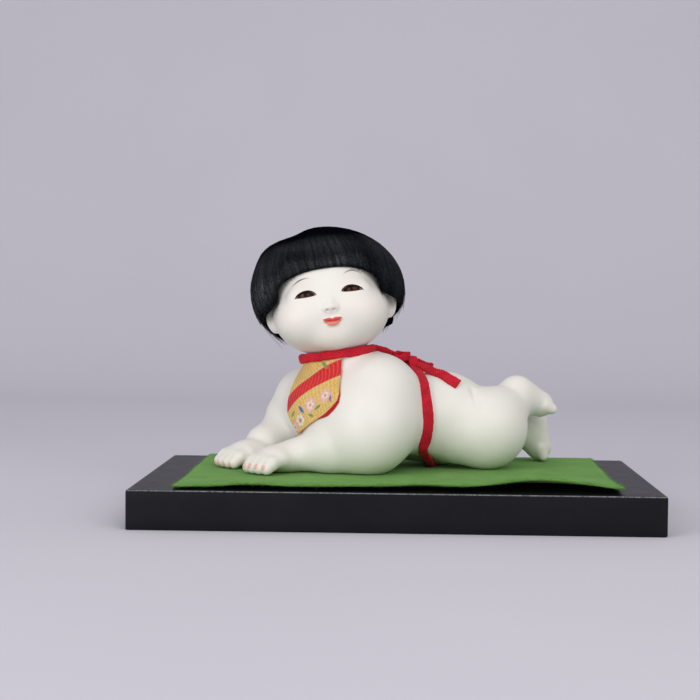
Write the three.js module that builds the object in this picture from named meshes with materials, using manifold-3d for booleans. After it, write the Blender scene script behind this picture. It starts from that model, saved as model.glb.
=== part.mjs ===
// A crawling baby doll: moulded body and pegged limbs under a white coat, plugged-in head with
// glass eyes and planted hair, brocade bib with crepe ties, felt mat and lacquered stand.
// Millimetres, +Z up, +X along the stand, the doll's face towards -Y.
import * as THREE from "three";
import { ConvexGeometry } from "three/addons/geometries/ConvexGeometry.js";
import { mergeVertices } from "three/addons/utils/BufferGeometryUtils.js";
import Module from "manifold-3d";

const wasm = await Module();
wasm.setup();

// Stand
const STAND_WIDTH = 300;
const STAND_DEPTH = 180;
const STAND_HEIGHT = 22.5;
const STAND_BOARD = 10;
const STAND_EDGE_BEVEL = 0.8;
const GLUE_BLOCK = 14;

// Felt mat
const MAT_SIDE_MARGIN = 25;
const MAT_END_MARGIN = 4;
const MAT_THICKNESS = 2;
const MAT_WAVE_RISE = 4.5;
const MAT_WAVE_REACH = 34;

// Where the doll stands on the mat
const DOLL_X = -2;
const DOLL_Y = 26;
const DOLL_TURN = 18;

// Torso, from chest to hips
const CHEST_LENGTH = 74;
const CHEST_WIDTH = 70;
const CHEST_HEIGHT = 60;
const CHEST_LIFT = 6;
const CHEST_TWIST = 25;
const BACK_LENGTH = 58;
const BACK_WIDTH = 74;
const BACK_HEIGHT = 54;
const BACK_RISE = 9;
const BELLY_LENGTH = 70;
const BELLY_WIDTH = 73;
const BELLY_HEIGHT = 56;
const BELLY_LIFT = 2.6;
const HIPS_LENGTH = 54;
const HIPS_WIDTH = 70;
const HIPS_HEIGHT = 56;
const CHEST_TO_BELLY = 39;
const CHEST_TO_BACK = 14;
const BELLY_TO_HIPS = 20;
const BUTTOCK_RADIUS = 24.5;
const BUTTOCK_SPREAD = 13;
const CORE_WIDTH = 26;
const CORE_LENGTH = 74;

// Arms
const LEFT_SHOULDER_RADIUS = 24;
const RIGHT_SHOULDER_RADIUS = 22.5;
const LEFT_UPPER_RADIUS = 28.5;
const LEFT_UPPER_BACK = 8;
const RIGHT_UPPER_RADIUS = 19.5;
const RIGHT_UPPER_FORWARD = 23;
const RIGHT_UPPER_HEIGHT = 28;
const LEFT_ELBOW_RADIUS = 19;
const RIGHT_ELBOW_RADIUS = 17;
const LEFT_FOREARM_RADIUS = 14;
const RIGHT_FOREARM_RADIUS = 15.5;
const LEFT_WRIST_RADIUS = 10;
const RIGHT_WRIST_RADIUS = 12.5;
const SHOULDER_SPREAD = 29;
const SHOULDER_HEIGHT = 45;
const ELBOW_SPREAD = 38;
const LEFT_HAND_SPREAD = 14;
const RIGHT_HAND_SPREAD = 19;
const LEFT_ELBOW_BACK = 3;
const RIGHT_ELBOW_FORWARD = 21;
const LEFT_REACH = 67.5;
const RIGHT_REACH = 77;
const LEFT_HAND_TURN = 28;
const RIGHT_HAND_TURN = 20;
const PALM_LENGTH = 25;
const PALM_WIDTH = 24;
const PALM_HEIGHT = 17;
const FINGER_LENGTH = 11;
const FINGER_RADIUS = 3.4;

// Legs
const THIGH_RADIUS = 22.5;
const LEFT_KNEE_RADIUS = 24.7;
const KNEE_RADIUS = 17;
const CALF_RADIUS = 17.5;
const ANKLE_RADIUS = 12;
const HEEL_RADIUS = 8.6;
const FOOT_RADIUS = 6.8;
const FOOT_LENGTH = 19;
const FOOT_WIDTH = 17;
const TOE_RADIUS = 3;
const LEFT_LEG_LENGTH = 76;
const RIGHT_LEG_LENGTH = 104;

// Head
const HEAD_WIDTH = 68;
const HEAD_DEPTH = 73;
const HEAD_HEIGHT = 66;
const JAW_WIDTH = 71;
const JAW_DEPTH = 62;
const JAW_HEIGHT = 52;
const JAW_DROP = 18;
const HEAD_ABOVE_NECK = 37.5;
const HEAD_YAW = 3;
const HEAD_PITCH = -10;
const HEAD_ROLL = -8.5;
const NOSE_RADIUS = 4.2;
const EAR_HEIGHT = 17;
const EAR_DEPTH = 11;
const EAR_THICKNESS = 10;
const EYE_RADIUS = 5.4;
const EYE_SPACING = 27;
const EYE_SLIT_WIDTH = 9.6;
const EYE_SLIT_HEIGHT = 3.4;
const LID_THICKNESS = 0.9;

// Hair
const HAIR_SIDE_THICKNESS = 14.4;
const HAIR_TOP_THICKNESS = 6.8;
const HAIR_LEAN = 1.8;
const HAIR_DROP = 2.2;
const HAIR_TILT = 9.4;
const HAIR_BACK_THICKNESS = 8;
const FRINGE_HALF_WIDTH = 31.5;
const FRINGE_ARCH = 14;
const NAPE_LENGTH = 24.5;

// Neck and dowels
const NECK_RADIUS = 20;
const NECK_BASE = 30;
const NECK_DOWEL_RADIUS = 6;
const NECK_DOWEL_LENGTH = 58;
const LIMB_DOWEL_RADIUS = 3.5;
const LIMB_DOWEL_LENGTH = 24;

// Bib and ties
const CLOTH = 1.1;
const BIB_LENGTH = 45;
const BIB_NECK_WIDTH = 43;
const BIB_NECK_SHIFT = 3.2;
const BIB_LEFT_REACH = 29.6;
const BIB_RIGHT_REACH = 13;
const BIB_POINT_SHIFT = 4.5;
const BAND_WIDTH = 6;
const BAND_THICKNESS = 1.6;
const KNOT_SIZE = 10;
const LOOP_LENGTH = 13;
const LOOP_THICKNESS = 4.5;
const TAIL_LENGTH = 38;
const TAIL_WIDTH = 5;
const TAIL_TURN = 53;
const LEFT_LOOP_TURN = 205;
const RIGHT_LOOP_TURN = 8;

// Clearances
const GAP = 0.3;
const TURN_GAP = 0.5;

// Each bone of a limb starts this much inside the one before it.
const SINK = 1.2;

const RIGHT_ANGLE = Math.PI / 2;
const degrees = THREE.MathUtils.degToRad;
const vec = (list) => new THREE.Vector3(...list);

// Colours and finishes
const paint = (color, roughness) => new THREE.MeshStandardMaterial({ color, roughness, metalness: 0 });
const lacquer = paint(0x14120f, 0.22);
const felt = paint(0x3f7d3a, 0.95);
const shellWhite = paint(0xf3ebdf, 0.5);
const bareWood = paint(0xb98f5c, 0.75);
const glassEye = paint(0x3a2114, 0.05);
const blackHair = paint(0x17171b, 0.5);
const redCrepe = paint(0xb3201f, 0.85);
const brocade = paint(0xc08a3a, 0.7);

// Turns any closed geometry into a solid whose faces look outwards.
function solid(geometry) {
  const bare = new THREE.BufferGeometry();
  bare.setAttribute("position", geometry.getAttribute("position").clone());
  if (geometry.index) {
    bare.setIndex(geometry.index.clone());
  }
  const merged = mergeVertices(bare, 1e-4);
  const corners = [];
  const index = merged.index.array;
  for (let i = 0; i < index.length; i += 3) {
    const [a, b, c] = [index[i], index[i + 1], index[i + 2]];
    if (a !== b && b !== c && c !== a) {
      corners.push(a, b, c);
    }
  }
  const build = (list) => new wasm.Manifold(new wasm.Mesh({
    numProp: 3,
    vertProperties: new Float32Array(merged.getAttribute("position").array),
    triVerts: new Uint32Array(list),
  }));
  const first = build(corners);
  if (first.volume() > 0) {
    return first;
  }
  const turned = [];
  for (let i = 0; i < corners.length; i += 3) {
    turned.push(corners[i], corners[i + 2], corners[i + 1]);
  }
  return build(turned);
}

const join = (...solids) => solids.reduce((whole, next) => whole.add(next));
const cut = (whole, ...tools) => tools.reduce((rest, tool) => rest.subtract(tool), whole);
const common = (...solids) => solids.reduce((whole, next) => whole.intersect(next));
const place = (body, matrix) => body.transform(matrix.elements);
const move = (body, x, y, z) => place(body, new THREE.Matrix4().makeTranslation(x, y, z));

// The main body of a cut piece, without the crumbs that a cut can leave.
function mainBody(body) {
  const bodies = body.decompose();
  bodies.sort((a, b) => b.volume() - a.volume());
  return bodies[0];
}

// Ellipsoid from its three full sizes.
function ball(centre, sizes, grow = 0, around = 16, along = 10) {
  const geometry = new THREE.SphereGeometry(0.5, around, along);
  geometry.rotateX(RIGHT_ANGLE);
  geometry.scale(sizes[0] + 2 * grow, sizes[1] + 2 * grow, sizes[2] + 2 * grow);
  geometry.translate(...centre);
  return solid(geometry);
}

// The skin over two round ends, so a limb swells and tapers along its bone.
function bone(from, fromRadius, to, toRadius, grow = 0, around = 12, arc = 4) {
  const start = vec(from);
  const way = vec(to).sub(start);
  const length = way.length();
  const lean = Math.asin((fromRadius - toRadius) / length);
  const profile = [];
  for (let i = 0; i <= arc; i += 1) {
    const angle = THREE.MathUtils.lerp(-RIGHT_ANGLE, lean, i / arc);
    const radius = fromRadius + grow;
    profile.push(new THREE.Vector2(Math.cos(angle) * radius, Math.sin(angle) * radius));
  }
  for (let i = 0; i <= arc; i += 1) {
    const angle = THREE.MathUtils.lerp(lean, RIGHT_ANGLE, i / arc);
    const radius = toRadius + grow;
    profile.push(new THREE.Vector2(Math.cos(angle) * radius, length + Math.sin(angle) * radius));
  }
  profile[0].x = 0;
  profile[profile.length - 1].x = 0;
  const geometry = new THREE.LatheGeometry(profile, around);
  const turn = new THREE.Quaternion().setFromUnitVectors(new THREE.Vector3(0, 1, 0), way.normalize());
  geometry.applyQuaternion(turn);
  geometry.translate(start.x, start.y, start.z);
  return solid(geometry);
}

// Straight round bar between two points.
function bar(from, to, radius, around = 16) {
  const start = vec(from);
  const way = vec(to).sub(start);
  const geometry = new THREE.CylinderGeometry(radius, radius, way.length(), around);
  geometry.translate(0, way.length() / 2, 0);
  const turn = new THREE.Quaternion().setFromUnitVectors(new THREE.Vector3(0, 1, 0), way.normalize());
  geometry.applyQuaternion(turn);
  geometry.translate(start.x, start.y, start.z);
  return solid(geometry);
}

function block(low, high) {
  const geometry = new THREE.BoxGeometry(high[0] - low[0], high[1] - low[1], high[2] - low[2]);
  geometry.translate((low[0] + high[0]) / 2, (low[1] + high[1]) / 2, (low[2] + high[2]) / 2);
  return solid(geometry);
}

const hull = (points) => solid(new ConvexGeometry(points.map(vec)));

function mesh(name, body, material) {
  const data = body.getMesh();
  const geometry = new THREE.BufferGeometry();
  geometry.setAttribute("position", new THREE.BufferAttribute(new Float32Array(data.vertProperties), 3));
  geometry.setIndex(new THREE.BufferAttribute(new Uint32Array(data.triVerts), 1));
  geometry.computeVertexNormals();
  const made = new THREE.Mesh(geometry, material);
  made.name = name;
  return made;
}

// Stand: four rails and a top board, all mitred, so the joints lie on the edges.
const halfWidth = STAND_WIDTH / 2;
const halfDepth = STAND_DEPTH / 2;
const innerWidth = halfWidth - STAND_BOARD;
const innerDepth = halfDepth - STAND_BOARD;
const boardUnder = STAND_HEIGHT - STAND_BOARD;
const stand = new THREE.Group();
stand.name = "stand";

function topBoard() {
  const half = STAND_EDGE_BEVEL / 2;
  const points = [];
  for (const x of [-1, 1]) {
    for (const y of [-1, 1]) {
      points.push([x * (halfWidth - 2 * half), y * (halfDepth - 2 * half), STAND_HEIGHT]);
      points.push([x * (halfWidth - half), y * (halfDepth - half), STAND_HEIGHT - half]);
      points.push([x * innerWidth, y * innerDepth, boardUnder]);
    }
  }
  return hull(points);
}

function rail(outer, inner, endOuter, endInner, turn) {
  const half = STAND_EDGE_BEVEL / 2;
  const points = [];
  for (const side of [-1, 1]) {
    points.push([side * (endOuter - GAP), -outer, 0]);
    points.push([side * (endOuter - GAP), -outer, STAND_HEIGHT - 2 * half]);
    points.push([side * (endOuter - half - GAP), -outer + half, STAND_HEIGHT - half - GAP]);
    points.push([side * (endInner - GAP), -inner, 0]);
    points.push([side * (endInner - GAP), -inner, boardUnder - GAP]);
  }
  return place(hull(points), new THREE.Matrix4().makeRotationZ(turn));
}

function glueBlock(x, y) {
  const cornerX = x * (innerWidth - GAP);
  const cornerY = y * (innerDepth - GAP);
  const top = boardUnder - GAP;
  const points = [];
  for (const z of [GAP, top]) {
    points.push([cornerX, cornerY, z]);
    points.push([cornerX - x * GLUE_BLOCK, cornerY, z]);
    points.push([cornerX, cornerY - y * GLUE_BLOCK, z]);
  }
  return hull(points);
}

stand.add(mesh("stand_top_board", topBoard(), lacquer));
stand.add(mesh("stand_front_rail", rail(halfDepth, innerDepth, halfWidth, innerWidth, 0), lacquer));
stand.add(mesh("stand_back_rail", rail(halfDepth, innerDepth, halfWidth, innerWidth, Math.PI), lacquer));
stand.add(mesh("stand_left_rail", rail(halfWidth, innerWidth, halfDepth, innerDepth, -RIGHT_ANGLE), lacquer));
stand.add(mesh("stand_right_rail", rail(halfWidth, innerWidth, halfDepth, innerDepth, RIGHT_ANGLE), lacquer));
stand.add(mesh("stand_glue_block_front_left", glueBlock(-1, -1), bareWood));
stand.add(mesh("stand_glue_block_front_right", glueBlock(1, -1), bareWood));
stand.add(mesh("stand_glue_block_back_left", glueBlock(-1, 1), bareWood));
stand.add(mesh("stand_glue_block_back_right", glueBlock(1, 1), bareWood));

// Felt mat: a thin sheet whose front edge lifts in a low wave right of the middle.
const matWidth = STAND_WIDTH - 2 * MAT_SIDE_MARGIN;
const matDepth = STAND_DEPTH - 2 * MAT_END_MARGIN;

function matLift(x, y) {
  const fromFront = THREE.MathUtils.clamp(1 - (y + matDepth / 2) / MAT_WAVE_REACH, 0, 1);
  const along = (x - 0.29 * matWidth) / (0.19 * matWidth);
  const swell = Math.exp(-along * along);
  return MAT_WAVE_RISE * swell * fromFront * fromFront;
}

function mat() {
  const columns = 20;
  const rows = 8;
  const positions = [];
  const index = [];
  const rowAt = (j) => -matDepth / 2 + matDepth * Math.pow(j / rows, 1.4);
  for (const level of [GAP / 3, MAT_THICKNESS]) {
    for (let j = 0; j <= rows; j += 1) {
      for (let i = 0; i <= columns; i += 1) {
        const x = -matWidth / 2 + (matWidth * i) / columns;
        const y = rowAt(j);
        positions.push(x, y, level + matLift(x, y));
      }
    }
  }
  const perLayer = (columns + 1) * (rows + 1);
  const at = (i, j, layer) => layer * perLayer + j * (columns + 1) + i;
  const quad = (a, b, c, d) => index.push(a, b, c, a, c, d);
  for (let j = 0; j < rows; j += 1) {
    for (let i = 0; i < columns; i += 1) {
      quad(at(i, j, 1), at(i + 1, j, 1), at(i + 1, j + 1, 1), at(i, j + 1, 1));
      quad(at(i, j, 0), at(i, j + 1, 0), at(i + 1, j + 1, 0), at(i + 1, j, 0));
    }
  }
  for (let i = 0; i < columns; i += 1) {
    quad(at(i, 0, 0), at(i + 1, 0, 0), at(i + 1, 0, 1), at(i, 0, 1));
    quad(at(i + 1, rows, 0), at(i, rows, 0), at(i, rows, 1), at(i + 1, rows, 1));
  }
  for (let j = 0; j < rows; j += 1) {
    quad(at(0, j + 1, 0), at(0, j, 0), at(0, j, 1), at(0, j + 1, 1));
    quad(at(columns, j, 0), at(columns, j + 1, 0), at(columns, j + 1, 1), at(columns, j, 1));
  }
  const geometry = new THREE.BufferGeometry();
  geometry.setAttribute("position", new THREE.Float32BufferAttribute(positions, 3));
  geometry.setIndex(index);
  return solid(geometry);
}

const matGroup = new THREE.Group();
matGroup.name = "mat";
matGroup.position.z = STAND_HEIGHT;
matGroup.add(mesh("felt_mat", mat(), felt));

// Doll frame: the doll crawls towards -X, its left side is -Y, the mat's top is z = 0.
const chestZ = CHEST_LIFT + CHEST_HEIGHT / 2;
const bellyZ = BELLY_LIFT + BELLY_HEIGHT / 2;
const hipsZ = GAP + HIPS_HEIGHT / 2;
const bellyX = 8;
const chestX = bellyX - CHEST_TO_BELLY;
const hipsX = bellyX + BELLY_TO_HIPS;
const partingZ = bellyZ;
const backX = chestX + CHEST_TO_BACK;
const backZ = chestZ + BACK_RISE;

// The chest is twisted to the doll's left, so the right shoulder comes forward.
const twist = degrees(CHEST_TWIST);
function fromChest(x, y, z) {
  const turned = vec([x, y, z]).applyAxisAngle(vec([0, 0, 1]), twist);
  return [turned.x + chestX, turned.y, turned.z];
}

// Neck frame: its z axis is the axis that the head turns about.
const neckTurn = new THREE.Matrix4().makeRotationFromEuler(
  new THREE.Euler(0, degrees(HEAD_ROLL), degrees(HEAD_YAW - DOLL_TURN), "ZYX"));
const neckAxis = new THREE.Vector3(0, 0, 1).applyMatrix4(neckTurn);
const neckRoot = new THREE.Vector3(chestX - 2, -5, chestZ);
const neckTop = neckRoot.clone().addScaledVector(neckAxis, NECK_BASE + 6);
const neckFrame = neckTurn.clone().setPosition(neckTop);
const alongNeck = (distance) => neckTop.clone().addScaledVector(neckAxis, distance).toArray();

function torsoBody(grow) {
  const buttock = (side) => ball([hipsX + 1, side * BUTTOCK_SPREAD, GAP + HIPS_HEIGHT - BUTTOCK_RADIUS + 3.5],
    [2 * BUTTOCK_RADIUS, 2 * BUTTOCK_RADIUS, 2 * BUTTOCK_RADIUS], grow, 14, 8);
  return join(
    ball([chestX, 0, chestZ], [CHEST_LENGTH, CHEST_WIDTH, CHEST_HEIGHT], grow, 18, 11),
    ball([backX, -1, backZ], [BACK_LENGTH, BACK_WIDTH, BACK_HEIGHT], grow, 18, 11),
    ball([bellyX, 0, bellyZ], [BELLY_LENGTH, BELLY_WIDTH, BELLY_HEIGHT], grow, 18, 11),
    ball([hipsX, 0, hipsZ], [HIPS_LENGTH, HIPS_WIDTH, HIPS_HEIGHT], grow, 18, 11),
    buttock(-1),
    buttock(1),
    bar(neckRoot.toArray(), alongNeck(0), NECK_RADIUS + grow, 20));
}

// Arms: shoulder, upper arm, elbow on the mat, forearm and hand.
function shoulderAt(side) {
  return fromChest(1, side * SHOULDER_SPREAD, SHOULDER_HEIGHT);
}

function arm(side, grow) {
  const reach = side < 0 ? LEFT_REACH : RIGHT_REACH;
  const spread = side < 0 ? LEFT_HAND_SPREAD : RIGHT_HAND_SPREAD;
  const shoulder = shoulderAt(side);
  const shoulderRadius = side < 0 ? LEFT_SHOULDER_RADIUS : RIGHT_SHOULDER_RADIUS;
  const elbowX = chestX + (side < 0 ? LEFT_ELBOW_BACK : -RIGHT_ELBOW_FORWARD);
  const elbowRadius = side < 0 ? LEFT_ELBOW_RADIUS : RIGHT_ELBOW_RADIUS;
  const forearmRadius = side < 0 ? LEFT_FOREARM_RADIUS : RIGHT_FOREARM_RADIUS;
  const wristRadius = side < 0 ? LEFT_WRIST_RADIUS : RIGHT_WRIST_RADIUS;
  const leftUpper = [chestX + LEFT_UPPER_BACK, 7 - ELBOW_SPREAD, LEFT_UPPER_RADIUS + 2];
  const rightUpper = [chestX - RIGHT_UPPER_FORWARD, ELBOW_SPREAD - 2, RIGHT_UPPER_HEIGHT];
  const upper = side < 0 ? leftUpper : rightUpper;
  const upperRadius = side < 0 ? LEFT_UPPER_RADIUS : RIGHT_UPPER_RADIUS;
  const elbow = [elbowX, side * ELBOW_SPREAD, elbowRadius + GAP];
  const wrist = [-reach, side * (spread + 4), wristRadius + GAP];
  const middle = [(elbow[0] + wrist[0]) / 2, (elbow[1] + wrist[1]) / 2, forearmRadius + GAP];
  return join(
    bone(shoulder, shoulderRadius, upper, upperRadius, grow),
    bone(elbow, elbowRadius - SINK, middle, forearmRadius, grow),
    bone(middle, forearmRadius - SINK, wrist, wristRadius, grow),
    hand(side, reach, spread, grow));
}

// A hand flat on the mat, turned at the wrist.
function hand(side, reach, spread, grow) {
  const palmX = -0.45 * PALM_LENGTH;
  const palmZ = PALM_HEIGHT / 2 + GAP;
  const palm = ball([palmX, 0, palmZ], [PALM_LENGTH, PALM_WIDTH, PALM_HEIGHT], grow, 12, 8);
  const rootX = palmX - 0.3 * PALM_LENGTH;
  const fingers = [-1.5, -0.5, 0.5, 1.5].map((row) => {
    const across = row * 0.24 * PALM_WIDTH;
    const tipX = rootX - FINGER_LENGTH + 0.9 * Math.abs(row);
    return bone([rootX, across, palmZ], FINGER_RADIUS,
      [tipX, across, FINGER_RADIUS + GAP], FINGER_RADIUS - 0.3, grow, 6, 2);
  });
  const inner = -side * 0.45 * PALM_WIDTH;
  const thumb = bone([palmX + 2, inner, palmZ - 1], FINGER_RADIUS + 0.6,
    [palmX - 0.75 * FINGER_LENGTH, inner - side * 3, FINGER_RADIUS + GAP], FINGER_RADIUS - 0.2, grow, 6, 2);
  const turn = degrees(side < 0 ? LEFT_HAND_TURN : RIGHT_HAND_TURN);
  const wrist = new THREE.Matrix4().makeRotationZ(turn).setPosition(-reach, side * spread, 0);
  return place(join(palm, thumb, ...fingers), wrist);
}

// A foot from heel to ball with five toes; across is the direction of its width.
function foot(heel, ballOfFoot, across, grow) {
  const way = vec(ballOfFoot).sub(vec(heel)).normalize();
  const spread = across.clone().multiplyScalar(FOOT_WIDTH / 2 - FOOT_RADIUS);
  const sideA = vec(ballOfFoot).add(spread).toArray();
  const sideB = vec(ballOfFoot).sub(spread).toArray();
  const toes = [-2, -1, 0, 1, 2].map((place) => {
    const radius = TOE_RADIUS + (place === -2 ? 0.9 : 0);
    const root = vec(ballOfFoot).addScaledVector(across, place * 0.19 * FOOT_WIDTH);
    const tip = root.clone().addScaledVector(way, FOOT_RADIUS - Math.abs(place + 0.5) * 0.5);
    return bone(root.toArray(), radius, tip.toArray(), radius - 0.4, grow, 6, 2);
  });
  return join(
    bone(heel, HEEL_RADIUS - SINK, sideA, FOOT_RADIUS, grow, 8, 3),
    bone(heel, HEEL_RADIUS - SINK, sideB, FOOT_RADIUS, grow, 8, 3),
    ...toes);
}

// Left leg: knee on the mat, shank and foot raised behind.
function leftLeg(grow) {
  const hip = [hipsX + 10, -21, THIGH_RADIUS + 2.5];
  const knee = [LEFT_LEG_LENGTH - 24, -26, LEFT_KNEE_RADIUS + GAP];
  const calf = [LEFT_LEG_LENGTH - 18, -26, KNEE_RADIUS + GAP + 14.7];
  const ankle = [LEFT_LEG_LENGTH - 5, -20, KNEE_RADIUS + GAP + 24];
  const heel = [LEFT_LEG_LENGTH - 2, -18, KNEE_RADIUS + GAP + 30];
  const front = vec(heel).addScaledVector(vec([0.92, 0.12, -0.36]).normalize(), FOOT_LENGTH).toArray();
  const across = vec([-0.13, 0.98, 0.1]).normalize();
  return join(
    bone(hip, THIGH_RADIUS, knee, LEFT_KNEE_RADIUS, grow),
    bone(knee, LEFT_KNEE_RADIUS - SINK, calf, CALF_RADIUS, grow),
    bone(calf, CALF_RADIUS - SINK, ankle, ANKLE_RADIUS, grow),
    bone(ankle, ANKLE_RADIUS - SINK, heel, HEEL_RADIUS, grow, 10, 3),
    foot(heel, front, across, grow));
}

// Right leg: stretched back, the toes down on the mat.
function rightLeg(grow) {
  const hip = [hipsX + 10, 21, THIGH_RADIUS + 2.5];
  const knee = [RIGHT_LEG_LENGTH - 38, 24, KNEE_RADIUS + GAP];
  const ankle = [RIGHT_LEG_LENGTH - 14, 12, ANKLE_RADIUS + GAP + 9];
  const heel = [RIGHT_LEG_LENGTH - 9, 8, ANKLE_RADIUS + GAP + 14];
  const toeZ = FOOT_RADIUS + 0.75 * TOE_RADIUS;
  const front = [RIGHT_LEG_LENGTH - 2.5, 7.5, Math.min(toeZ, heel[2] - HEEL_RADIUS)];
  const across = vec([0.25, 0.97, 0]).normalize();
  return join(
    bone(hip, THIGH_RADIUS, knee, KNEE_RADIUS, grow),
    bone(knee, KNEE_RADIUS - SINK, ankle, ANKLE_RADIUS, grow),
    bone(ankle, ANKLE_RADIUS - SINK, heel, HEEL_RADIUS, grow, 10, 3),
    foot(heel, front, across, grow));
}

const doll = new THREE.Group();
doll.name = "doll";
doll.position.set(DOLL_X, DOLL_Y, MAT_THICKNESS);
doll.rotation.z = degrees(DOLL_TURN);

// Nothing of the doll reaches below the mat's top.
const aboveMat = block([-400, -400, GAP], [400, 400, 400]);
const torso = common(torsoBody(0), aboveMat);
const torsoRoom = torsoBody(GAP);
const leftArmBody = mainBody(cut(common(arm(-1, 0), aboveMat), torsoRoom));
const rightArmBody = mainBody(cut(common(arm(1, 0), aboveMat), torsoRoom));
const armRoom = join(arm(-1, GAP), arm(1, GAP));
const leftLegBody = mainBody(cut(common(leftLeg(0), aboveMat), torsoRoom, armRoom));
const legSplit = block([-400, GAP, -400], [400, 400, 400]);
const rightLegBody = mainBody(cut(common(rightLeg(0), aboveMat, legSplit), torsoRoom, armRoom, leftLeg(GAP)));
const limbRoom = join(armRoom, leftLeg(GAP), rightLeg(GAP));

// Dowels: one for the head, one for each limb, each in a hole with a small clearance.
const dowelInTorso = NECK_DOWEL_LENGTH * 0.62;
const neckToParting = (neckTop.z - partingZ) / neckAxis.z;
const neckHoleDepth = Math.max(dowelInTorso, neckToParting) + 1;
const neckHole = bar(alongNeck(-neckHoleDepth), alongNeck(5), NECK_DOWEL_RADIUS + TURN_GAP);
function shoulderDowel(side, grow) {
  const middle = CHEST_WIDTH / 2 - 3;
  const half = LIMB_DOWEL_LENGTH / 2 + grow;
  const dowelZ = SHOULDER_HEIGHT - 6;
  const inner = fromChest(1, side * (middle - half), dowelZ);
  const outer = fromChest(1, side * (middle + half), dowelZ);
  return bar(inner, outer, LIMB_DOWEL_RADIUS + grow, 10);
}
const hipDowel = (side, grow) => bar(
  [hipsX + 14 - grow, side * 19, hipsZ - 5],
  [hipsX + 14 + LIMB_DOWEL_LENGTH + grow, side * 23, hipsZ - 8],
  LIMB_DOWEL_RADIUS + grow, 10);
const limbDowels = (grow) => [
  shoulderDowel(-1, grow),
  shoulderDowel(1, grow),
  hipDowel(-1, grow),
  hipDowel(1, grow),
];
const dowelRoom = limbDowels(GAP);
const core = ball([(chestX + hipsX) / 2, 0, partingZ], [CORE_LENGTH, CORE_WIDTH, CORE_WIDTH], 0, 16, 10);
const torsoDrilled = cut(torso, core, neckHole, ...dowelRoom);
const backSide = block([-400, -400, partingZ + GAP / 2], [400, 400, 400]);
const bellySide = block([-400, -400, -400], [400, 400, partingZ - GAP / 2]);
doll.add(mesh("torso_back_half", mainBody(common(torsoDrilled, backSide)), shellWhite));
doll.add(mesh("torso_belly_half", mainBody(common(torsoDrilled, bellySide)), shellWhite));
doll.add(mesh("left_arm", mainBody(cut(leftArmBody, ...dowelRoom)), shellWhite));
doll.add(mesh("right_arm", mainBody(cut(rightArmBody, ...dowelRoom)), shellWhite));
doll.add(mesh("left_leg", mainBody(cut(leftLegBody, ...dowelRoom)), shellWhite));
doll.add(mesh("right_leg", mainBody(cut(rightLegBody, ...dowelRoom)), shellWhite));
const dowelNames = ["left_arm_dowel", "right_arm_dowel", "left_leg_dowel", "right_leg_dowel"];
limbDowels(0).forEach((body, i) => doll.add(mesh(dowelNames[i], body, bareWood)));

// Neck band: a soft roll of crepe round the neck, below the jaw.
function ring(inner, outer, low, high) {
  const profile = [];
  const steps = 6;
  for (let i = 0; i <= steps; i += 1) {
    const angle = (i / steps) * 2 * Math.PI;
    const x = (inner + outer) / 2 + ((outer - inner) / 2) * Math.cos(angle);
    const y = (low + high) / 2 + ((high - low) / 2) * Math.sin(angle);
    profile.push(new THREE.Vector2(x, y));
  }
  const geometry = new THREE.LatheGeometry(profile, 18);
  geometry.rotateX(RIGHT_ANGLE);
  return solid(geometry);
}

const bandLow = -4.6;
const bandHigh = bandLow + BAND_WIDTH;
const neckBand = (grow) => place(
  ring(NECK_RADIUS + GAP - grow, NECK_RADIUS + 4 + grow, bandLow - grow, bandHigh + grow), neckFrame);
const neckBandBody = mainBody(cut(neckBand(0), torsoRoom, limbRoom));
doll.add(mesh("neck_band", neckBandBody, redCrepe));
const neckBandRoom = neckBand(GAP);

// Cloth lies on the torso like a skin between two distances from it.
const skin = (from, to) => torsoBody(to).subtract(torsoBody(from));

// Bib outline, seen from the doll's front: neck edge, two side corners and a lower point.
function bibPrism(inset) {
  const neckZ = chestZ + CHEST_HEIGHT / 2 + 1;
  const shape = new THREE.Shape();
  shape.moveTo(BIB_NECK_SHIFT - BIB_NECK_WIDTH / 2 + inset, neckZ);
  shape.lineTo(inset - BIB_LEFT_REACH, neckZ - 0.48 * BIB_LENGTH);
  shape.lineTo(BIB_POINT_SHIFT, neckZ - BIB_LENGTH + inset);
  shape.lineTo(BIB_RIGHT_REACH - inset, neckZ - 0.64 * BIB_LENGTH);
  shape.lineTo(BIB_NECK_SHIFT + BIB_NECK_WIDTH / 2 - inset, neckZ);
  shape.closePath();
  const geometry = new THREE.ExtrudeGeometry(shape, { depth: 0.6 * CHEST_LENGTH, bevelEnabled: false });
  const turn = new THREE.Matrix4().makeBasis(vec([0, 1, 0]), vec([0, 0, 1]), vec([1, 0, 0]));
  geometry.applyMatrix4(turn);
  geometry.translate(-0.7 * CHEST_LENGTH, 0, 0);
  geometry.rotateZ(twist);
  geometry.translate(chestX, 0, 0);
  return solid(geometry);
}

const bibLining = mainBody(cut(common(skin(GAP, GAP + CLOTH / 2), bibPrism(0)), limbRoom, neckBandRoom));
const bibFace = mainBody(cut(
  common(skin(2 * GAP + CLOTH / 2, 2 * GAP + 1.5 * CLOTH), bibPrism(1.2)), limbRoom, neckBandRoom));
doll.add(mesh("bib_lining", bibLining, redCrepe));
doll.add(mesh("bib_brocade_face", bibFace, brocade));

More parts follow.
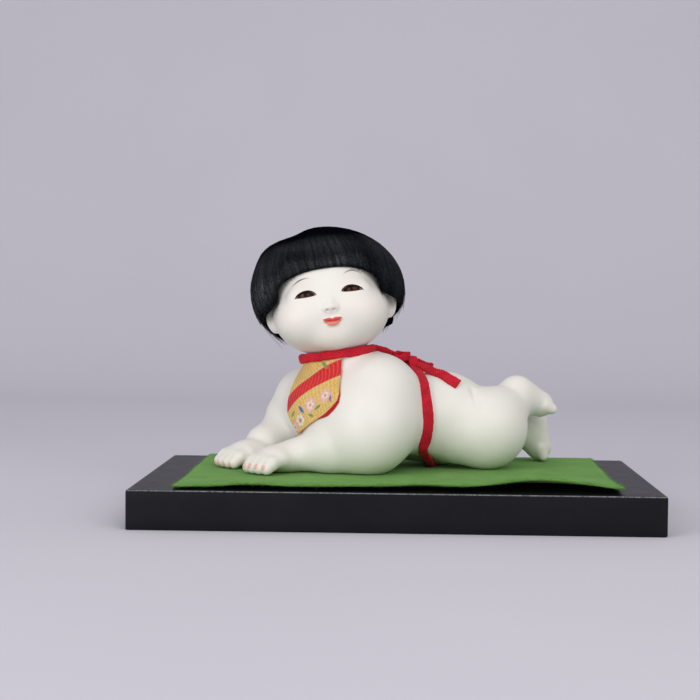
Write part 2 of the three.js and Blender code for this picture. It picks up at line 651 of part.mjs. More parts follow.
// Waist band, back cord and bow.
const knotX = bellyX + 2;
const knotY = -2;
const knotZ = bellyZ + BELLY_HEIGHT / 2 + GAP + BAND_THICKNESS;
const knotSizes = [KNOT_SIZE, KNOT_SIZE - 1, KNOT_SIZE - 2];
const knot = (grow) => ball([knotX, knotY, knotZ + 1], knotSizes, grow, 10, 6);
const waistX = bellyX + 2.5;
function waistSlab(grow) {
  const half = BAND_WIDTH / 2 + grow;
  return block([waistX - half, -400, -400], [waistX + half, 400, 400]);
}
const bandSkin = skin(GAP, GAP + BAND_THICKNESS);
const knotBody = mainBody(cut(knot(0), torsoRoom));
const waistBand = mainBody(cut(common(bandSkin, waistSlab(0), aboveMat), knot(GAP), limbRoom));
doll.add(mesh("bow_knot", knotBody, redCrepe));
doll.add(mesh("waist_band", waistBand, redCrepe));

const cordStrip = block([chestX - 4, knotY - BAND_WIDTH / 2, chestZ], [knotX, knotY + BAND_WIDTH / 2, 400]);
const cordRoom = join(knot(GAP), waistSlab(GAP), neckBandRoom, limbRoom);
const backCord = mainBody(cut(common(bandSkin, cordStrip), cordRoom));
doll.add(mesh("back_cord", backCord, redCrepe));

// A tail runs from the knot over one buttock.
function tail(side) {
  const strip = block([0, -TAIL_WIDTH / 2, 0], [TAIL_LENGTH + 3, TAIL_WIDTH / 2, 200]);
  const turn = new THREE.Matrix4().makeRotationZ(side * degrees(TAIL_TURN));
  const placed = move(place(strip, turn), knotX, knotY, bellyZ);
  return mainBody(cut(common(bandSkin, placed), knot(GAP), waistSlab(GAP), limbRoom));
}
doll.add(mesh("bow_tail_left", tail(-1), redCrepe));
const middleSplit = block([-400, GAP, -400], [400, 400, 400]);
doll.add(mesh("bow_tail_right", mainBody(cut(common(tail(1), middleSplit), tail(-1))), redCrepe));

// A loop is a flat ring of band with a small eye, standing beside the knot.
function loop(heading) {
  const outline = new THREE.Shape();
  outline.absellipse(LOOP_LENGTH / 2, 0, LOOP_LENGTH / 2, LOOP_THICKNESS, 0, 2 * Math.PI, false, 0);
  const eye = new THREE.Path();
  eye.absellipse(LOOP_LENGTH / 2, 0, LOOP_LENGTH / 2 - 2, LOOP_THICKNESS - 2, 0, 2 * Math.PI, true, 0);
  outline.holes.push(eye);
  const options = { depth: BAND_WIDTH, bevelEnabled: false, curveSegments: 8 };
  const geometry = new THREE.ExtrudeGeometry(outline, options);
  geometry.translate(0, 0, -BAND_WIDTH / 2);
  geometry.rotateX(RIGHT_ANGLE);
  const lean = new THREE.Matrix4().makeRotationY(degrees(-12));
  const turn = new THREE.Matrix4().makeRotationZ(degrees(heading)).multiply(lean);
  const out = vec([3, 0, 0]).applyMatrix4(turn);
  const start = [knotX + out.x, knotY + out.y, knotZ + LOOP_THICKNESS - 0.5];
  const placed = move(place(solid(geometry), turn), ...start);
  return mainBody(cut(placed, knot(GAP), torsoBody(2 * GAP + BAND_THICKNESS), limbRoom));
}
const leftLoop = loop(LEFT_LOOP_TURN);
doll.add(mesh("bow_loop_left", leftLoop, redCrepe));
doll.add(mesh("bow_loop_right", mainBody(cut(loop(RIGHT_LOOP_TURN), leftLoop)), redCrepe));

// Head, built in its own frame with the face towards -Y, then pitched into the neck frame.
const pitch = new THREE.Matrix4().makeRotationX(degrees(HEAD_PITCH));
const headFrame = pitch.clone().setPosition(0, 1, HEAD_ABOVE_NECK);
const eyeZ = -6;
const jawY = -5;
const earZ = -12;
const earX = HEAD_WIDTH / 2 + 1;
const headParting = 4;

function headBody(grow) {
  const nose = ball([0, jawY - JAW_DEPTH / 2 - 0.5, eyeZ - 9.5],
    [2 * NOSE_RADIUS, 2 * NOSE_RADIUS, 1.6 * NOSE_RADIUS], grow, 8, 6);
  return join(
    ball([0, 4, 4], [HEAD_WIDTH, HEAD_DEPTH, HEAD_HEIGHT], grow, 18, 11),
    ball([0, jawY, -JAW_DROP + 4], [JAW_WIDTH, JAW_DEPTH, JAW_HEIGHT], grow, 18, 10),
    nose);
}

const ear = (side, grow) => ball([side * earX, 2, earZ], [EAR_THICKNESS, EAR_DEPTH, EAR_HEIGHT], grow, 8, 6);
const ears = (grow) => join(ear(-1, grow), ear(1, grow));

// Each eye sits behind a slit between the lids, in a bore that opens to the parting face.
const faceY = (x, z) => {
  const across = (2 * x) / JAW_WIDTH;
  const up = (2 * (z + JAW_DROP - 4)) / JAW_HEIGHT;
  return jawY - (JAW_DEPTH / 2) * Math.sqrt(1 - across * across - up * up);
};
const eyeX = EYE_SPACING / 2;
const eyeY = faceY(eyeX, eyeZ) + EYE_RADIUS + LID_THICKNESS;
const eyeBall = (side, grow) => ball([side * eyeX, eyeY, eyeZ],
  [2 * EYE_RADIUS, 2 * EYE_RADIUS, 2 * EYE_RADIUS], grow, 10, 6);

function eyeRoom(side) {
  const bore = bar([side * eyeX, eyeY, eyeZ], [side * eyeX, headParting + 1, eyeZ], EYE_RADIUS + GAP, 10);
  const slit = ball([side * eyeX, eyeY - EYE_RADIUS, eyeZ],
    [EYE_SLIT_WIDTH, 4 * EYE_RADIUS, EYE_SLIT_HEIGHT], 0, 8, 6);
  return join(eyeBall(side, GAP), bore, slit);
}

const dowelTop = NECK_DOWEL_LENGTH - dowelInTorso;
const toHead = headFrame.clone().invert();
const dowelInNeck = (grow) => bar([0, 0, dowelTop - NECK_DOWEL_LENGTH - grow], [0, 0, dowelTop + grow],
  NECK_DOWEL_RADIUS + grow);
const neckFlat = block([-400, -400, GAP], [400, 400, 400]);
const headWhole = cut(
  common(join(headBody(0), ears(0)), place(neckFlat, toHead)),
  place(dowelInNeck(GAP), toHead), eyeRoom(-1), eyeRoom(1));
const frontSide = join(block([-400, -400, -400], [400, headParting, 400]), ears(0.01));
const rearSide = cut(block([-400, headParting + GAP, -400], [400, 400, 400]), ears(GAP));
const headGroup = new THREE.Group();
headGroup.name = "head";
headGroup.applyMatrix4(neckFrame);
const headMesh = (name, body, material) => headGroup.add(mesh(name, place(body, headFrame), material));
headMesh("head_face_half", mainBody(common(headWhole, frontSide)), shellWhite);
headMesh("head_back_half", mainBody(common(headWhole, rearSide)), shellWhite);
headMesh("left_eye", eyeBall(1, 0), glassEye);
headMesh("right_eye", eyeBall(-1, 0), glassEye);
headGroup.add(mesh("neck_dowel", dowelInNeck(0), bareWood));

// Hair: a thick bowl cut over the crown, arched over the face, cut round the ears, long at the back.
function hairMass() {
  const level = ball([0, 0, 0], [
    HEAD_WIDTH + 2 * HAIR_SIDE_THICKNESS,
    HEAD_DEPTH + 1.4 * HAIR_BACK_THICKNESS,
    HEAD_HEIGHT + 2 * HAIR_TOP_THICKNESS,
  ], 0, 20, 12);
  const tilt = new THREE.Matrix4().makeRotationY(degrees(HAIR_TILT));
  const outer = place(level, tilt.setPosition(-HAIR_LEAN, 4 + HAIR_BACK_THICKNESS / 4, 4 - HAIR_DROP));
  const arch = new THREE.Shape();
  const spring = eyeZ;
  arch.moveTo(-FRINGE_HALF_WIDTH, -100);
  arch.lineTo(FRINGE_HALF_WIDTH, -100);
  arch.lineTo(FRINGE_HALF_WIDTH, spring);
  arch.absellipse(0, spring, FRINGE_HALF_WIDTH, FRINGE_ARCH, 0, Math.PI, false, 0);
  arch.closePath();
  const opening = new THREE.ExtrudeGeometry(arch, { depth: 100, bevelEnabled: false, curveSegments: 12 });
  opening.rotateX(RIGHT_ANGLE);
  const earSpace = block([-100, -100, -100], [100, earRear, earZ + EAR_HEIGHT / 4]);
  const nape = block([-100, -100, -100], [100, 100, -NAPE_LENGTH]);
  return cut(outer, headBody(GAP), ears(GAP), solid(opening), earSpace, nape);
}

const earRear = 2 + EAR_DEPTH / 2 + 1;
const hair = hairMass();
const fringeBack = -6;
const crownLow = HEAD_HEIGHT * 0.22;
const fringeRoom = block([-100, -100, -100], [100, fringeBack - GAP, 100]);
const crownRoom = block([-100, fringeBack, crownLow + GAP], [100, 100, 100]);
const backRoom = block([-100, fringeBack, -100], [100, 100, crownLow]);
headMesh("hair_fringe", mainBody(common(hair, fringeRoom)), blackHair);
headMesh("hair_crown", mainBody(common(hair, crownRoom)), blackHair);
headMesh("hair_back", mainBody(common(hair, backRoom)), blackHair);

doll.add(headGroup);
matGroup.add(doll);
stand.add(matGroup);

export default stand;
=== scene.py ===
import math

import bpy
import numpy as np
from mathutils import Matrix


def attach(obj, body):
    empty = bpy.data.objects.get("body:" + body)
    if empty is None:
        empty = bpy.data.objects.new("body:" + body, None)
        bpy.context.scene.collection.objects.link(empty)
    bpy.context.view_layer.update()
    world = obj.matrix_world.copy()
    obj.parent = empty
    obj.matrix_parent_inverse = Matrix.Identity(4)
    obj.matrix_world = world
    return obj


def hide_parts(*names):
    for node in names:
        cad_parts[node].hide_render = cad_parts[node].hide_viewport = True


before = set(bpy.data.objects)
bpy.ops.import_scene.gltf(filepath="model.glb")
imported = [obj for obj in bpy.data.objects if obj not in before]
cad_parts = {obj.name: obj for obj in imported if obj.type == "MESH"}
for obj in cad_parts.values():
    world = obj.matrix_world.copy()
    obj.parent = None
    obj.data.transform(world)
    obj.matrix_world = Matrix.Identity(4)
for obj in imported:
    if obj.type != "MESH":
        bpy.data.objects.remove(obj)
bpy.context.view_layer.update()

import openvdb
from mathutils import Matrix

scene = bpy.context.scene
rng = np.random.default_rng(7)


# Frames, in millimetres until a mesh is made
def turn(axis, degrees):
    m = np.eye(4)
    m[:3, :3] = np.array(Matrix.Rotation(math.radians(degrees), 3, axis))
    return m


def shift(x, y, z):
    m = np.eye(4)
    m[:3, 3] = (x, y, z)
    return m


def move(matrix, points):
    return np.asarray(points, float) @ matrix[:3, :3].T + matrix[:3, 3]


MM = 0.001
WORLD = np.eye(4)
STAND_W, STAND_D, STAND_TOP = 300, 180, 22.5
MAT_TOP = 24.5
DOLL = shift(-2, 26, MAT_TOP) @ turn("Z", 18)
NECK_FOOT, NECK_RISE, NECK_R = np.array([-33, -5, 36]), 36, 20
NECK_TURN = turn("Z", -15) @ turn("Y", -8.5)
NECK_IN_DOLL = shift(*(NECK_FOOT + NECK_RISE * NECK_TURN[:3, 2])) @ NECK_TURN
NECK = DOLL @ NECK_IN_DOLL
HEAD_IN_NECK = shift(0, 1, 37.5) @ turn("X", -10)
HEAD = NECK @ HEAD_IN_NECK


def unit(v):
    v = np.asarray(v, float)
    return v / np.maximum(np.linalg.norm(v, axis=-1, keepdims=True), 1e-9)


def clamp(x):
    return np.clip(x, 0, 1)


def bell(x):
    return np.exp(-x ** 2)


def waves(points, size, seed):
    """Smooth noise from -1 to 1 with features of about that size."""
    r = np.random.default_rng(seed)
    total = np.zeros(points.shape[:-1])
    for scale in (1, 2, 4):
        for _ in range(4):
            k = unit(r.normal(size=3)) * 2 * np.pi * scale / size
            total += np.sin(points @ k + r.uniform(0, 6.28)) / (scale * 4)
    return total / 1.2


# Signed distances on a grid
class Field:
    FAR = 40.0

    def __init__(self, low, high, step):
        self.low, self.step = np.array(low, float), step
        counts = np.ceil((np.array(high) - self.low) / step).astype(int) + 1
        self.axes = [self.low[i] + step * np.arange(counts[i]) for i in range(3)]
        self.d = np.full(counts, self.FAR, np.float32)

    def part(self, low, high):
        cut = [slice(*np.searchsorted(a, (l, h))) for a, l, h in zip(self.axes, low, high)]
        x, y, z = (a[k].astype(np.float32) for a, k in zip(self.axes, cut))
        return tuple(cut), x[:, None, None], y[None, :, None], z[None, None, :]

    def add(self, shape, blend=1.0, sign=1):
        """Joins a shape with a soft seam; a sign of -1 cuts it away."""
        reach, low, high = shape
        pad = 2 * blend + 2
        cut, x, y, z = self.part(low - pad, high + pad)
        old, new = self.d[cut], sign * reach(x, y, z)
        h = clamp(0.5 + sign * 0.5 * (old - new) / blend)
        self.d[cut] = old + (new - old) * h - sign * blend * h * (1 - h)

    def carve(self, shape, blend):
        self.add(shape, blend, -1)

    def at(self, points):
        q = (points - self.low) / self.step
        i = np.clip(np.floor(q).astype(int), 0, np.array(self.d.shape) - 2)
        f = clamp(q - i)
        total = 0
        for corner in range(8):
            o = np.array([corner >> 2, corner >> 1 & 1, corner & 1])
            w = np.prod(np.where(o, f, 1 - f), axis=-1)
            j = i + o
            total = total + w * self.d[j[..., 0], j[..., 1], j[..., 2]]
        return total

    def normal(self, points):
        e = np.eye(3) * self.step
        return unit(np.stack([self.at(points + a) - self.at(points - a) for a in e], -1))

    def settle(self, points, level=0.0, rounds=4):
        for _ in range(rounds):
            points = points - (self.at(points) - level)[..., None] * self.normal(points)
        return points

    def mesh(self, relax=2):
        """The surface in quads, relaxed along itself and facing outwards."""
        grid = openvdb.FloatGrid(self.FAR)
        grid.copyFromArray(self.d)
        points, quads = grid.convertToQuads(isovalue=0.0)
        points = self.low + np.asarray(points, float) * self.step
        quads = np.asarray(quads, np.int64)
        edges = np.concatenate([quads[:, [k, (k + 1) % 4]] for k in range(4)])
        a, b = np.concatenate([edges, edges[:, ::-1]]).T
        count = np.maximum(np.bincount(a, minlength=len(points)), 1)[:, None]
        for _ in range(relax):
            mean = np.stack([np.bincount(a, w, len(points)) for w in points[b].T], 1) / count
            points = self.settle(0.5 * (points + mean), 0.0, 1)
        p = points[quads]
        area = np.cross(p[:, 2] - p[:, 0], p[:, 3] - p[:, 1])
        if np.einsum("ij,ij->", area, p.mean(1) - points.mean(0)) < 0:
            quads = quads[:, ::-1]
        return points, quads


def ball(centre, sizes):
    """Ellipsoid from its three full sizes."""
    c, r = np.array(centre, float), np.array(sizes, float) / 2

    def reach(x, y, z):
        u, v, w = (x - c[0]) / r[0], (y - c[1]) / r[1], (z - c[2]) / r[2]
        k0 = np.sqrt(u * u + v * v + w * w)
        k1 = np.sqrt((u / r[0]) ** 2 + (v / r[1]) ** 2 + (w / r[2]) ** 2) + 1e-6
        return k0 * (k0 - 1) / k1

    return reach, c - r, c + r


def bone(a, ra, b, rb):
    """The skin over two round ends."""
    a, b = np.array(a, float), np.array(b, float)
    ba, rr = b - a, ra - rb
    l2 = ba @ ba
    a2 = max(l2 - rr * rr, 1e-6)

    def reach(x, y, z):
        px, py, pz = x - a[0], y - a[1], z - a[2]
        t = px * ba[0] + py * ba[1] + pz * ba[2]
        e = t - l2
        x2 = np.maximum(l2 * (l2 * (px * px + py * py + pz * pz) - t * t), 0)
        k = np.sign(rr) * rr * rr * x2
        side = (np.sqrt(x2 * a2 / l2) + t * rr) / l2 - ra
        low = np.sqrt(x2 + t * t * l2) / l2 - ra
        high = np.sqrt(x2 + e * e * l2) / l2 - rb
        out = np.where(np.sign(t) * a2 * t * t * l2 < k, low, side)
        return np.where(np.sign(e) * a2 * e * e * l2 > k, high, out)

    return reach, np.minimum(a - ra, b - rb), np.maximum(a + ra, b + rb)


def placed(shape, matrix):
    """A shape given in another frame, whose box is taken from its corners."""
    reach, low, high = shape
    back = np.linalg.inv(matrix)
    corners = np.array([[(low, high)[i >> k & 1][k] for k in range(3)] for i in range(8)])
    corners = move(matrix, corners)

    def inner(x, y, z):
        return reach(*(r[0] * x + r[1] * y + r[2] * z + r[3] for r in back[:3]))

    return inner, corners.min(0), corners.max(0)


# Meshes
def make(name, points, faces, material, body, matrix=WORLD, stands_for=(), paint=None,
         uv=None):
    """A named mesh in metres that rides on a body, or stands on the stage without one."""
    points = move(matrix, points) * MM
    faces = faces if isinstance(faces, list) else [faces]
    faces = [np.asarray(f, np.int32) for f in faces if len(f)]
    loops = np.concatenate([f.ravel() for f in faces])
    sizes = np.concatenate([np.full(len(f), f.shape[1]) for f in faces])
    me = bpy.data.meshes.new(name)
    me.vertices.add(len(points))
    me.vertices.foreach_set("co", points.astype(np.float32).ravel())
    me.loops.add(len(loops))
    me.loops.foreach_set("vertex_index", loops.astype(np.int32))
    me.polygons.add(len(sizes))
    starts = np.concatenate([[0], np.cumsum(sizes)[:-1]])
    me.polygons.foreach_set("loop_start", starts.astype(np.int32))
    me.update(calc_edges=True)
    me.validate()
    me.polygons.foreach_set("use_smooth", np.ones(len(me.polygons), bool))
    if paint is not None:
        paint = np.asarray(paint, np.float32)
        if paint.shape[1] == 3:
            paint = np.concatenate([paint, np.ones((len(paint), 1), np.float32)], 1)
        me.attributes.new("paint", "FLOAT_COLOR", "POINT").data.foreach_set("color", paint.ravel())
    if uv is not None:
        index = np.zeros(len(me.loops), np.int32)
        me.loops.foreach_get("vertex_index", index)
        layer = me.uv_layers.new(name="cloth")
        layer.data.foreach_set("uv", np.asarray(uv, np.float32)[index].ravel())
    me.materials.append(material)
    obj = bpy.data.objects.new(name, me)
    scene.collection.objects.link(obj)
    if body is None:
        return obj
    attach(obj, body)
    if stands_for:
        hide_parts(*stands_for)
    return obj


# Materials
class Paint:
    """A material with its Principled shader and short ways to add nodes."""

    def __init__(self, name, **values):
        self.material = bpy.data.materials.new(name)
        self.material.use_nodes = True
        self.tree = self.material.node_tree
        self.shader = self.tree.nodes["Principled BSDF"]
        self.done(**values)

    def set(self, node, key, value):
        if isinstance(value, bpy.types.NodeSocket):
            self.tree.links.new(value, node.inputs[key])
        else:
            node.inputs[key].default_value = value

    def node(self, kind, settings=(), **inputs):
        made = self.tree.nodes.new("ShaderNode" + kind)
        for key, value in dict(settings).items():
            setattr(made, key, value)
        for key, value in inputs.items():
            index = int(key[1:]) if key[0] == "i" and key[1:].isdigit() else key.replace("_", " ")
            self.set(made, index, value)
        return made

    def where(self):
        return self.node("TexCoord").outputs["Object"]

    def cloth(self):
        return self.node("UVMap", {"uv_map": "cloth"}).outputs["UV"]

    def painted(self):
        return self.node("Attribute", {"attribute_name": "paint"})

    def noise(self, scale, detail=3.0, rough=0.55, vector=None):
        return self.node("TexNoise", Vector=vector or self.where(), Scale=scale, Detail=detail,
                         Roughness=rough).outputs["Fac"]

    def ramp(self, value, stops):
        made = self.node("ValToRGB", Fac=value)
        while len(made.color_ramp.elements) < len(stops):
            made.color_ramp.elements.new(0.5)
        for element, (at, colour) in zip(made.color_ramp.elements, stops):
            element.position = at
            element.color = (*colour, 1) if len(colour) == 3 else colour
        return made.outputs["Color"]

    def span(self, value, low, high):
        return self.node("MapRange", Value=value, To_Min=low, To_Max=high).outputs["Result"]

    def bands(self, way, scale, distortion, **more):
        return self.node("TexWave", {"bands_direction": way}, Vector=self.cloth(), Scale=scale,
                         Distortion=distortion, **more).outputs["Fac"]

    def mix(self, kind, factor, a, b):
        """Mixes colours: inputs 0, 6 and 7 of the node are the factor and the two colours."""
        settings = {"data_type": "RGBA", "blend_type": kind}
        return self.node("Mix", settings, i0=factor, i6=a, i7=b).outputs[2]

    def times(self, a, b):
        return self.mix("MULTIPLY", 1.0, a, b)

    def tinted(self, noise, low, high):
        """The painted colour, made lighter and darker by a noise."""
        return self.times(self.painted().outputs["Color"], self.span(noise, low, high))

    def total(self, a, share_a, b, share_b):
        first, second = self.math("MULTIPLY", a, share_a), self.math("MULTIPLY", b, share_b)
        return self.math("ADD", first, second)

    def math(self, kind, a, b=0.0):
        return self.node("Math", {"operation": kind}, i0=a, i1=b).outputs[0]

    def bump(self, height, depth, strength=1.0, normal=None):
        made = self.node("Bump", Height=height, Distance=depth, Strength=strength)
        if normal is not None:
            self.set(made, "Normal", normal)
        return made.outputs["Normal"]

    def done(self, **values):
        """Sets or links the shader's inputs by their names."""
        for key, value in values.items():
            self.set(self.shader, key.replace("_", " ").title().replace("Ior", "IOR"), value)
        return self.material


def skin_material():
    p = Paint("shell_white_coat", specular_ior_level=0.35)
    fine, broad = p.noise(900, 3), p.noise(120, 2)
    return p.done(base_color=p.tinted(p.noise(55, 4), 0.95, 1.03),
                  roughness=p.span(p.noise(160), 0.36, 0.52),
                  normal=p.bump(broad, 0.0004, 0.25, p.bump(fine, 0.00006, 0.3)))


def crepe_material():
    p = Paint("red_crepe", specular_ior_level=0.25, sheen_weight=0.10, sheen_roughness=0.45,
              sheen_tint=(1, 0.35, 0.35, 1))
    twill = p.bands("DIAGONAL", 0.33, 1.6, Detail=2.0, Detail_Scale=0.9)
    grain, wear_and_painted_highlight = p.noise(1500, 3), p.noise(240, 3)
    tone = p.ramp(p.total(wear_and_painted_highlight, 0.7, twill, 0.3), [
        (0.15, (0.27, 0.003, 0.010)), (0.5, (0.59, 0.008, 0.026)), (0.85, (0.76, 0.020, 0.050))])
    return p.done(base_color=tone, roughness=p.span(grain, 0.7, 0.9),
                  normal=p.bump(p.total(twill, 0.45, grain, 1.0), 0.0005, 0.8))


def brocade_material():
    p = Paint("gold_brocade", specular_ior_level=0.4)
    weave = p.math("MULTIPLY", p.bands("X", 0.72, 0.5), p.bands("Y", 0.56, 0.5))
    paint = p.painted()
    shade = p.span(p.total(weave, 0.3, p.noise(900, 4, 0.7), 0.9), 0.45, 1.5)
    return p.done(base_color=p.times(paint.outputs["Color"], shade),
                  metallic=p.math("MULTIPLY", paint.outputs["Alpha"], 0.45),
                  roughness=p.span(weave, 0.62, 0.42), normal=p.bump(weave, 0.00025, 0.8))


def felt_material():
    p = Paint("green_felt", specular_ior_level=0.12, sheen_weight=0.18, sheen_roughness=0.6,
              sheen_tint=(0.6, 0.9, 0.5, 1))
    fibre, patch = p.noise(1400, 4, 0.7), p.noise(60, 4)
    tone = p.ramp(p.total(fibre, 0.62, patch, 0.38), [
        (0.3, (0.070, 0.184, 0.031)), (0.5, (0.127, 0.308, 0.058)), (0.72, (0.195, 0.405, 0.100))])
    return p.done(base_color=tone, roughness=p.span(fibre, 0.88, 1.0),
                  normal=p.bump(p.total(fibre, 1.0, patch, 0.6), 0.0007, 0.7))


def lacquer_material():
    p = Paint("black_lacquer", specular_ior_level=0.13)
    fine, broad = p.noise(2200, 2), p.noise(35, 3)
    ground = p.ramp(broad, [(0.3, (0.0062, 0.0064, 0.0098)), (0.7, (0.0085, 0.0087, 0.0130))])
    dust = p.ramp(p.noise(1500, 2, 0.5), [(0.66, (0, 0, 0)), (0.76, (1, 1, 1))])
    base = p.mix("MIX", p.math("MULTIPLY", dust, 0.22), ground, (0.07, 0.07, 0.075, 1))
    # Painted highlight: the stand paints a thin line along its rounded front-top edge; this noise
    # breaks it into fine dots and mixes it in as light grey.
    highlight_dots = p.ramp(p.noise(1300, 3, 0.6), [(0.35, (0.1, 0.1, 0.1)), (0.62, (1, 1, 1))])
    wear_and_painted_highlight = p.math("MULTIPLY", p.painted().outputs["Fac"], highlight_dots)
    return p.done(base_color=p.mix("MIX", wear_and_painted_highlight, base, (0.36, 0.37, 0.40, 1)),
                  roughness=p.span(p.noise(90, 4), 0.32, 0.46),
                  normal=p.bump(broad, 0.0012, 0.10, p.bump(fine, 0.00004, 0.35)))


def wood_material():
    p = Paint("bare_wood", specular_ior_level=0.3)
    long = p.node("Mapping", Vector=p.where(), Scale=(1.0, 1.0, 0.12)).outputs["Vector"]
    grain = p.node("TexWave", {"wave_type": "RINGS"}, Vector=long, Scale=95.0, Distortion=5.0,
                   Detail=3.0, Detail_Scale=2.0).outputs["Fac"]
    tone = p.ramp(grain, [
        (0.1, (0.30, 0.17, 0.075)), (0.6, (0.47, 0.30, 0.15)), (0.95, (0.56, 0.38, 0.20))])
    return p.done(base_color=tone, roughness=p.span(grain, 0.62, 0.8),
                  normal=p.bump(grain, 0.0002, 0.4))


def hair_material():
    """The paint's alpha is the shine of each lock."""
    p = Paint("black_hair", specular_tint=(0.82, 0.91, 1.0, 1))
    return p.done(base_color=p.tinted(p.noise(500, 2), 0.7, 1.3),
                  specular_ior_level=p.span(p.painted().outputs["Alpha"], 0.0, 0.86),
                  roughness=p.span(p.noise(700, 2), 0.22, 0.33),
                  normal=p.bump(p.noise(2500, 2), 0.0001, 0.3))


def glass_material():
    p = Paint("eye_glass", coat_weight=0.04, coat_roughness=0.05, specular_ior_level=0.12)
    return p.done(base_color=p.tinted(p.noise(2600, 3), 0.75, 1.25),
                  roughness=p.span(p.noise(900), 0.10, 0.18))


def nail_material():
    p = Paint("painted_nail", specular_ior_level=0.45)
    tone = p.ramp(p.noise(700, 2), [(0.3, (0.80, 0.42, 0.38)), (0.7, (0.86, 0.55, 0.50))])
    return p.done(base_color=tone, roughness=p.span(p.noise(900), 0.3, 0.42))


def stroke_material():
    p = Paint("brush_stroke", specular_ior_level=0.2)
    return p.done(base_color=p.tinted(p.noise(1800, 2), 0.8, 1.2),
                  roughness=p.span(p.noise(1200), 0.45, 0.6))


SKIN, CREPE, BROCADE, FELT = skin_material(), crepe_material(), brocade_material(), felt_material()
LACQUER, WOOD, HAIR, GLASS = lacquer_material(), wood_material(), hair_material(), glass_material()
NAIL, STROKE = nail_material(), stroke_material()

for name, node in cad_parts.items():
    if name.endswith("dowel") or "glue_block" in name:
        node.data.materials.clear()
        node.data.materials.append(WOOD)


# Grids, tubes and ribbons
def lattice(rows, cols, wrap=False, closed=False):
    """Quads over rows of points, whose rows and whole may each be a ring."""
    i, j = np.meshgrid(np.arange(rows - (not closed)), np.arange(cols - (not wrap)), indexing="ij")
    i2, j2 = (i + 1) % rows * cols, (j + 1) % cols
    return np.stack([i * cols + j, i * cols + j2, i2 + j2, i2 + j], -1).reshape(-1, 4)


# The order of a quad's corners that makes it face the other way
OTHER_WAY = [0, 3, 2, 1]


def slab(top, under):
    """Two layers of points joined along their rim."""
    rows, cols = top.shape[:2]
    i, j, size = np.arange(rows), np.arange(cols), rows * cols
    rim = np.concatenate([i * cols, (rows - 1) * cols + j[1:], i[-2::-1] * cols + cols - 1,
                          j[-2:0:-1]])
    nxt = np.roll(rim, -1)
    quads = lattice(rows, cols)[:, OTHER_WAY]
    faces = np.concatenate([quads, quads[:, ::-1] + size,
                            np.stack([rim, rim + size, nxt + size, nxt], -1)])
    return np.concatenate([top.reshape(-1, 3), under.reshape(-1, 3)]), faces, rim


def tubes(paths, radii, sides=3):
    """Many thin tapered tubes of as many points each; those with three sides get ends."""
    n, m = paths.shape[:2]
    along = unit(np.gradient(paths, axis=1))
    ref = np.eye(3)[np.argmin(np.abs(along).max(1), 1)][:, None, :]
    a = unit(np.cross(along, ref))
    b = np.cross(along, a)
    angle = np.arange(sides) * 2 * np.pi / sides
    ring = a[:, :, None] * np.cos(angle)[:, None] + b[:, :, None] * np.sin(angle)[:, None]
    points = paths[:, :, None] + ring * radii[:, :, None, None]
    first = (np.arange(n) * m * sides)[:, None]
    faces = [(first[:, None] + lattice(m, sides, wrap=True)).reshape(-1, 4)]
    if sides == 3:
        i = np.arange(sides)
        faces.append(np.concatenate([first + i[::-1], first + (m - 1) * sides + i]))
    return points.reshape(-1, 3), faces


# Points round a ribbon
SECTION = 18


def ribbon(path, normal, width, thick, closed=False, crumple=0.3, seed=1, size=5.0, square=0.55):
    """A crumpled flat band with rounded edges whose lower face follows the path."""
    path, normal = np.asarray(path, float), unit(normal)
    if closed:
        along = unit(np.roll(path, -1, 0) - np.roll(path, 1, 0))
    else:
        along = unit(np.gradient(path, axis=0))
    across = unit(np.cross(normal, along))
    normal = np.cross(along, across)
    angle = np.arange(SECTION) * 2 * np.pi / SECTION
    c, s = np.cos(angle), np.sin(angle)
    u = np.sign(c) * np.abs(c) ** square
    v = np.sign(s) * np.abs(s) ** square
    width = np.broadcast_to(width, len(path))[:, None]
    thick = np.broadcast_to(thick, len(path))[:, None]
    points = (path[:, None] + across[:, None] * (u * width / 2)[..., None]
              + normal[:, None] * ((v + 1) * thick / 2)[..., None])
    lift = waves(points, size, seed) * crumple * (0.35 + 0.65 * (v > -0.3))
    points = points + normal[:, None] * lift[..., None]
    sway = waves(points, size * 0.7, seed + 50) * crumple * 0.8
    points = points + across[:, None] * sway[..., None]
    step = np.linalg.norm(np.diff(path, axis=0), axis=1)
    length = np.concatenate([[0], np.cumsum(step)])
    uv = np.stack([np.broadcast_to(length[:, None], points.shape[:2]),
                   u * width / 2 + np.sign(v) * 1.0 + 0 * length[:, None]], -1)
    faces = [lattice(len(path), SECTION, wrap=True, closed=closed)]
    if not closed:
        i = np.arange(SECTION)
        faces.append(np.stack([i[::-1], (len(path) - 1) * SECTION + i]))
    return points.reshape(-1, 3), faces, uv.reshape(-1, 2)


def smooth_path(points, count):
    """Evenly spaced points on a smooth curve through the given ones."""
    p = np.asarray(points, float)
    ext = np.concatenate([2 * p[:1] - p[1:2], p, 2 * p[-1:] - p[-2:-1]])
    out = []
    for a, b, c, d in zip(ext, ext[1:], ext[2:], ext[3:]):
        t = np.linspace(0, 1, 24, endpoint=False)[:, None]
        out.append(0.5 * (2 * b + (c - a) * t + (2 * a - 5 * b + 4 * c - d) * t ** 2
                          + (3 * b - a - 3 * c + d) * t ** 3))
    line = np.concatenate(out + [p[-1:]])
    far = np.concatenate([[0], np.cumsum(np.linalg.norm(np.diff(line, axis=0), axis=1))])
    want = np.linspace(0, far[-1], count)
    return np.stack([np.interp(want, far, line[:, k]) for k in range(3)], 1)


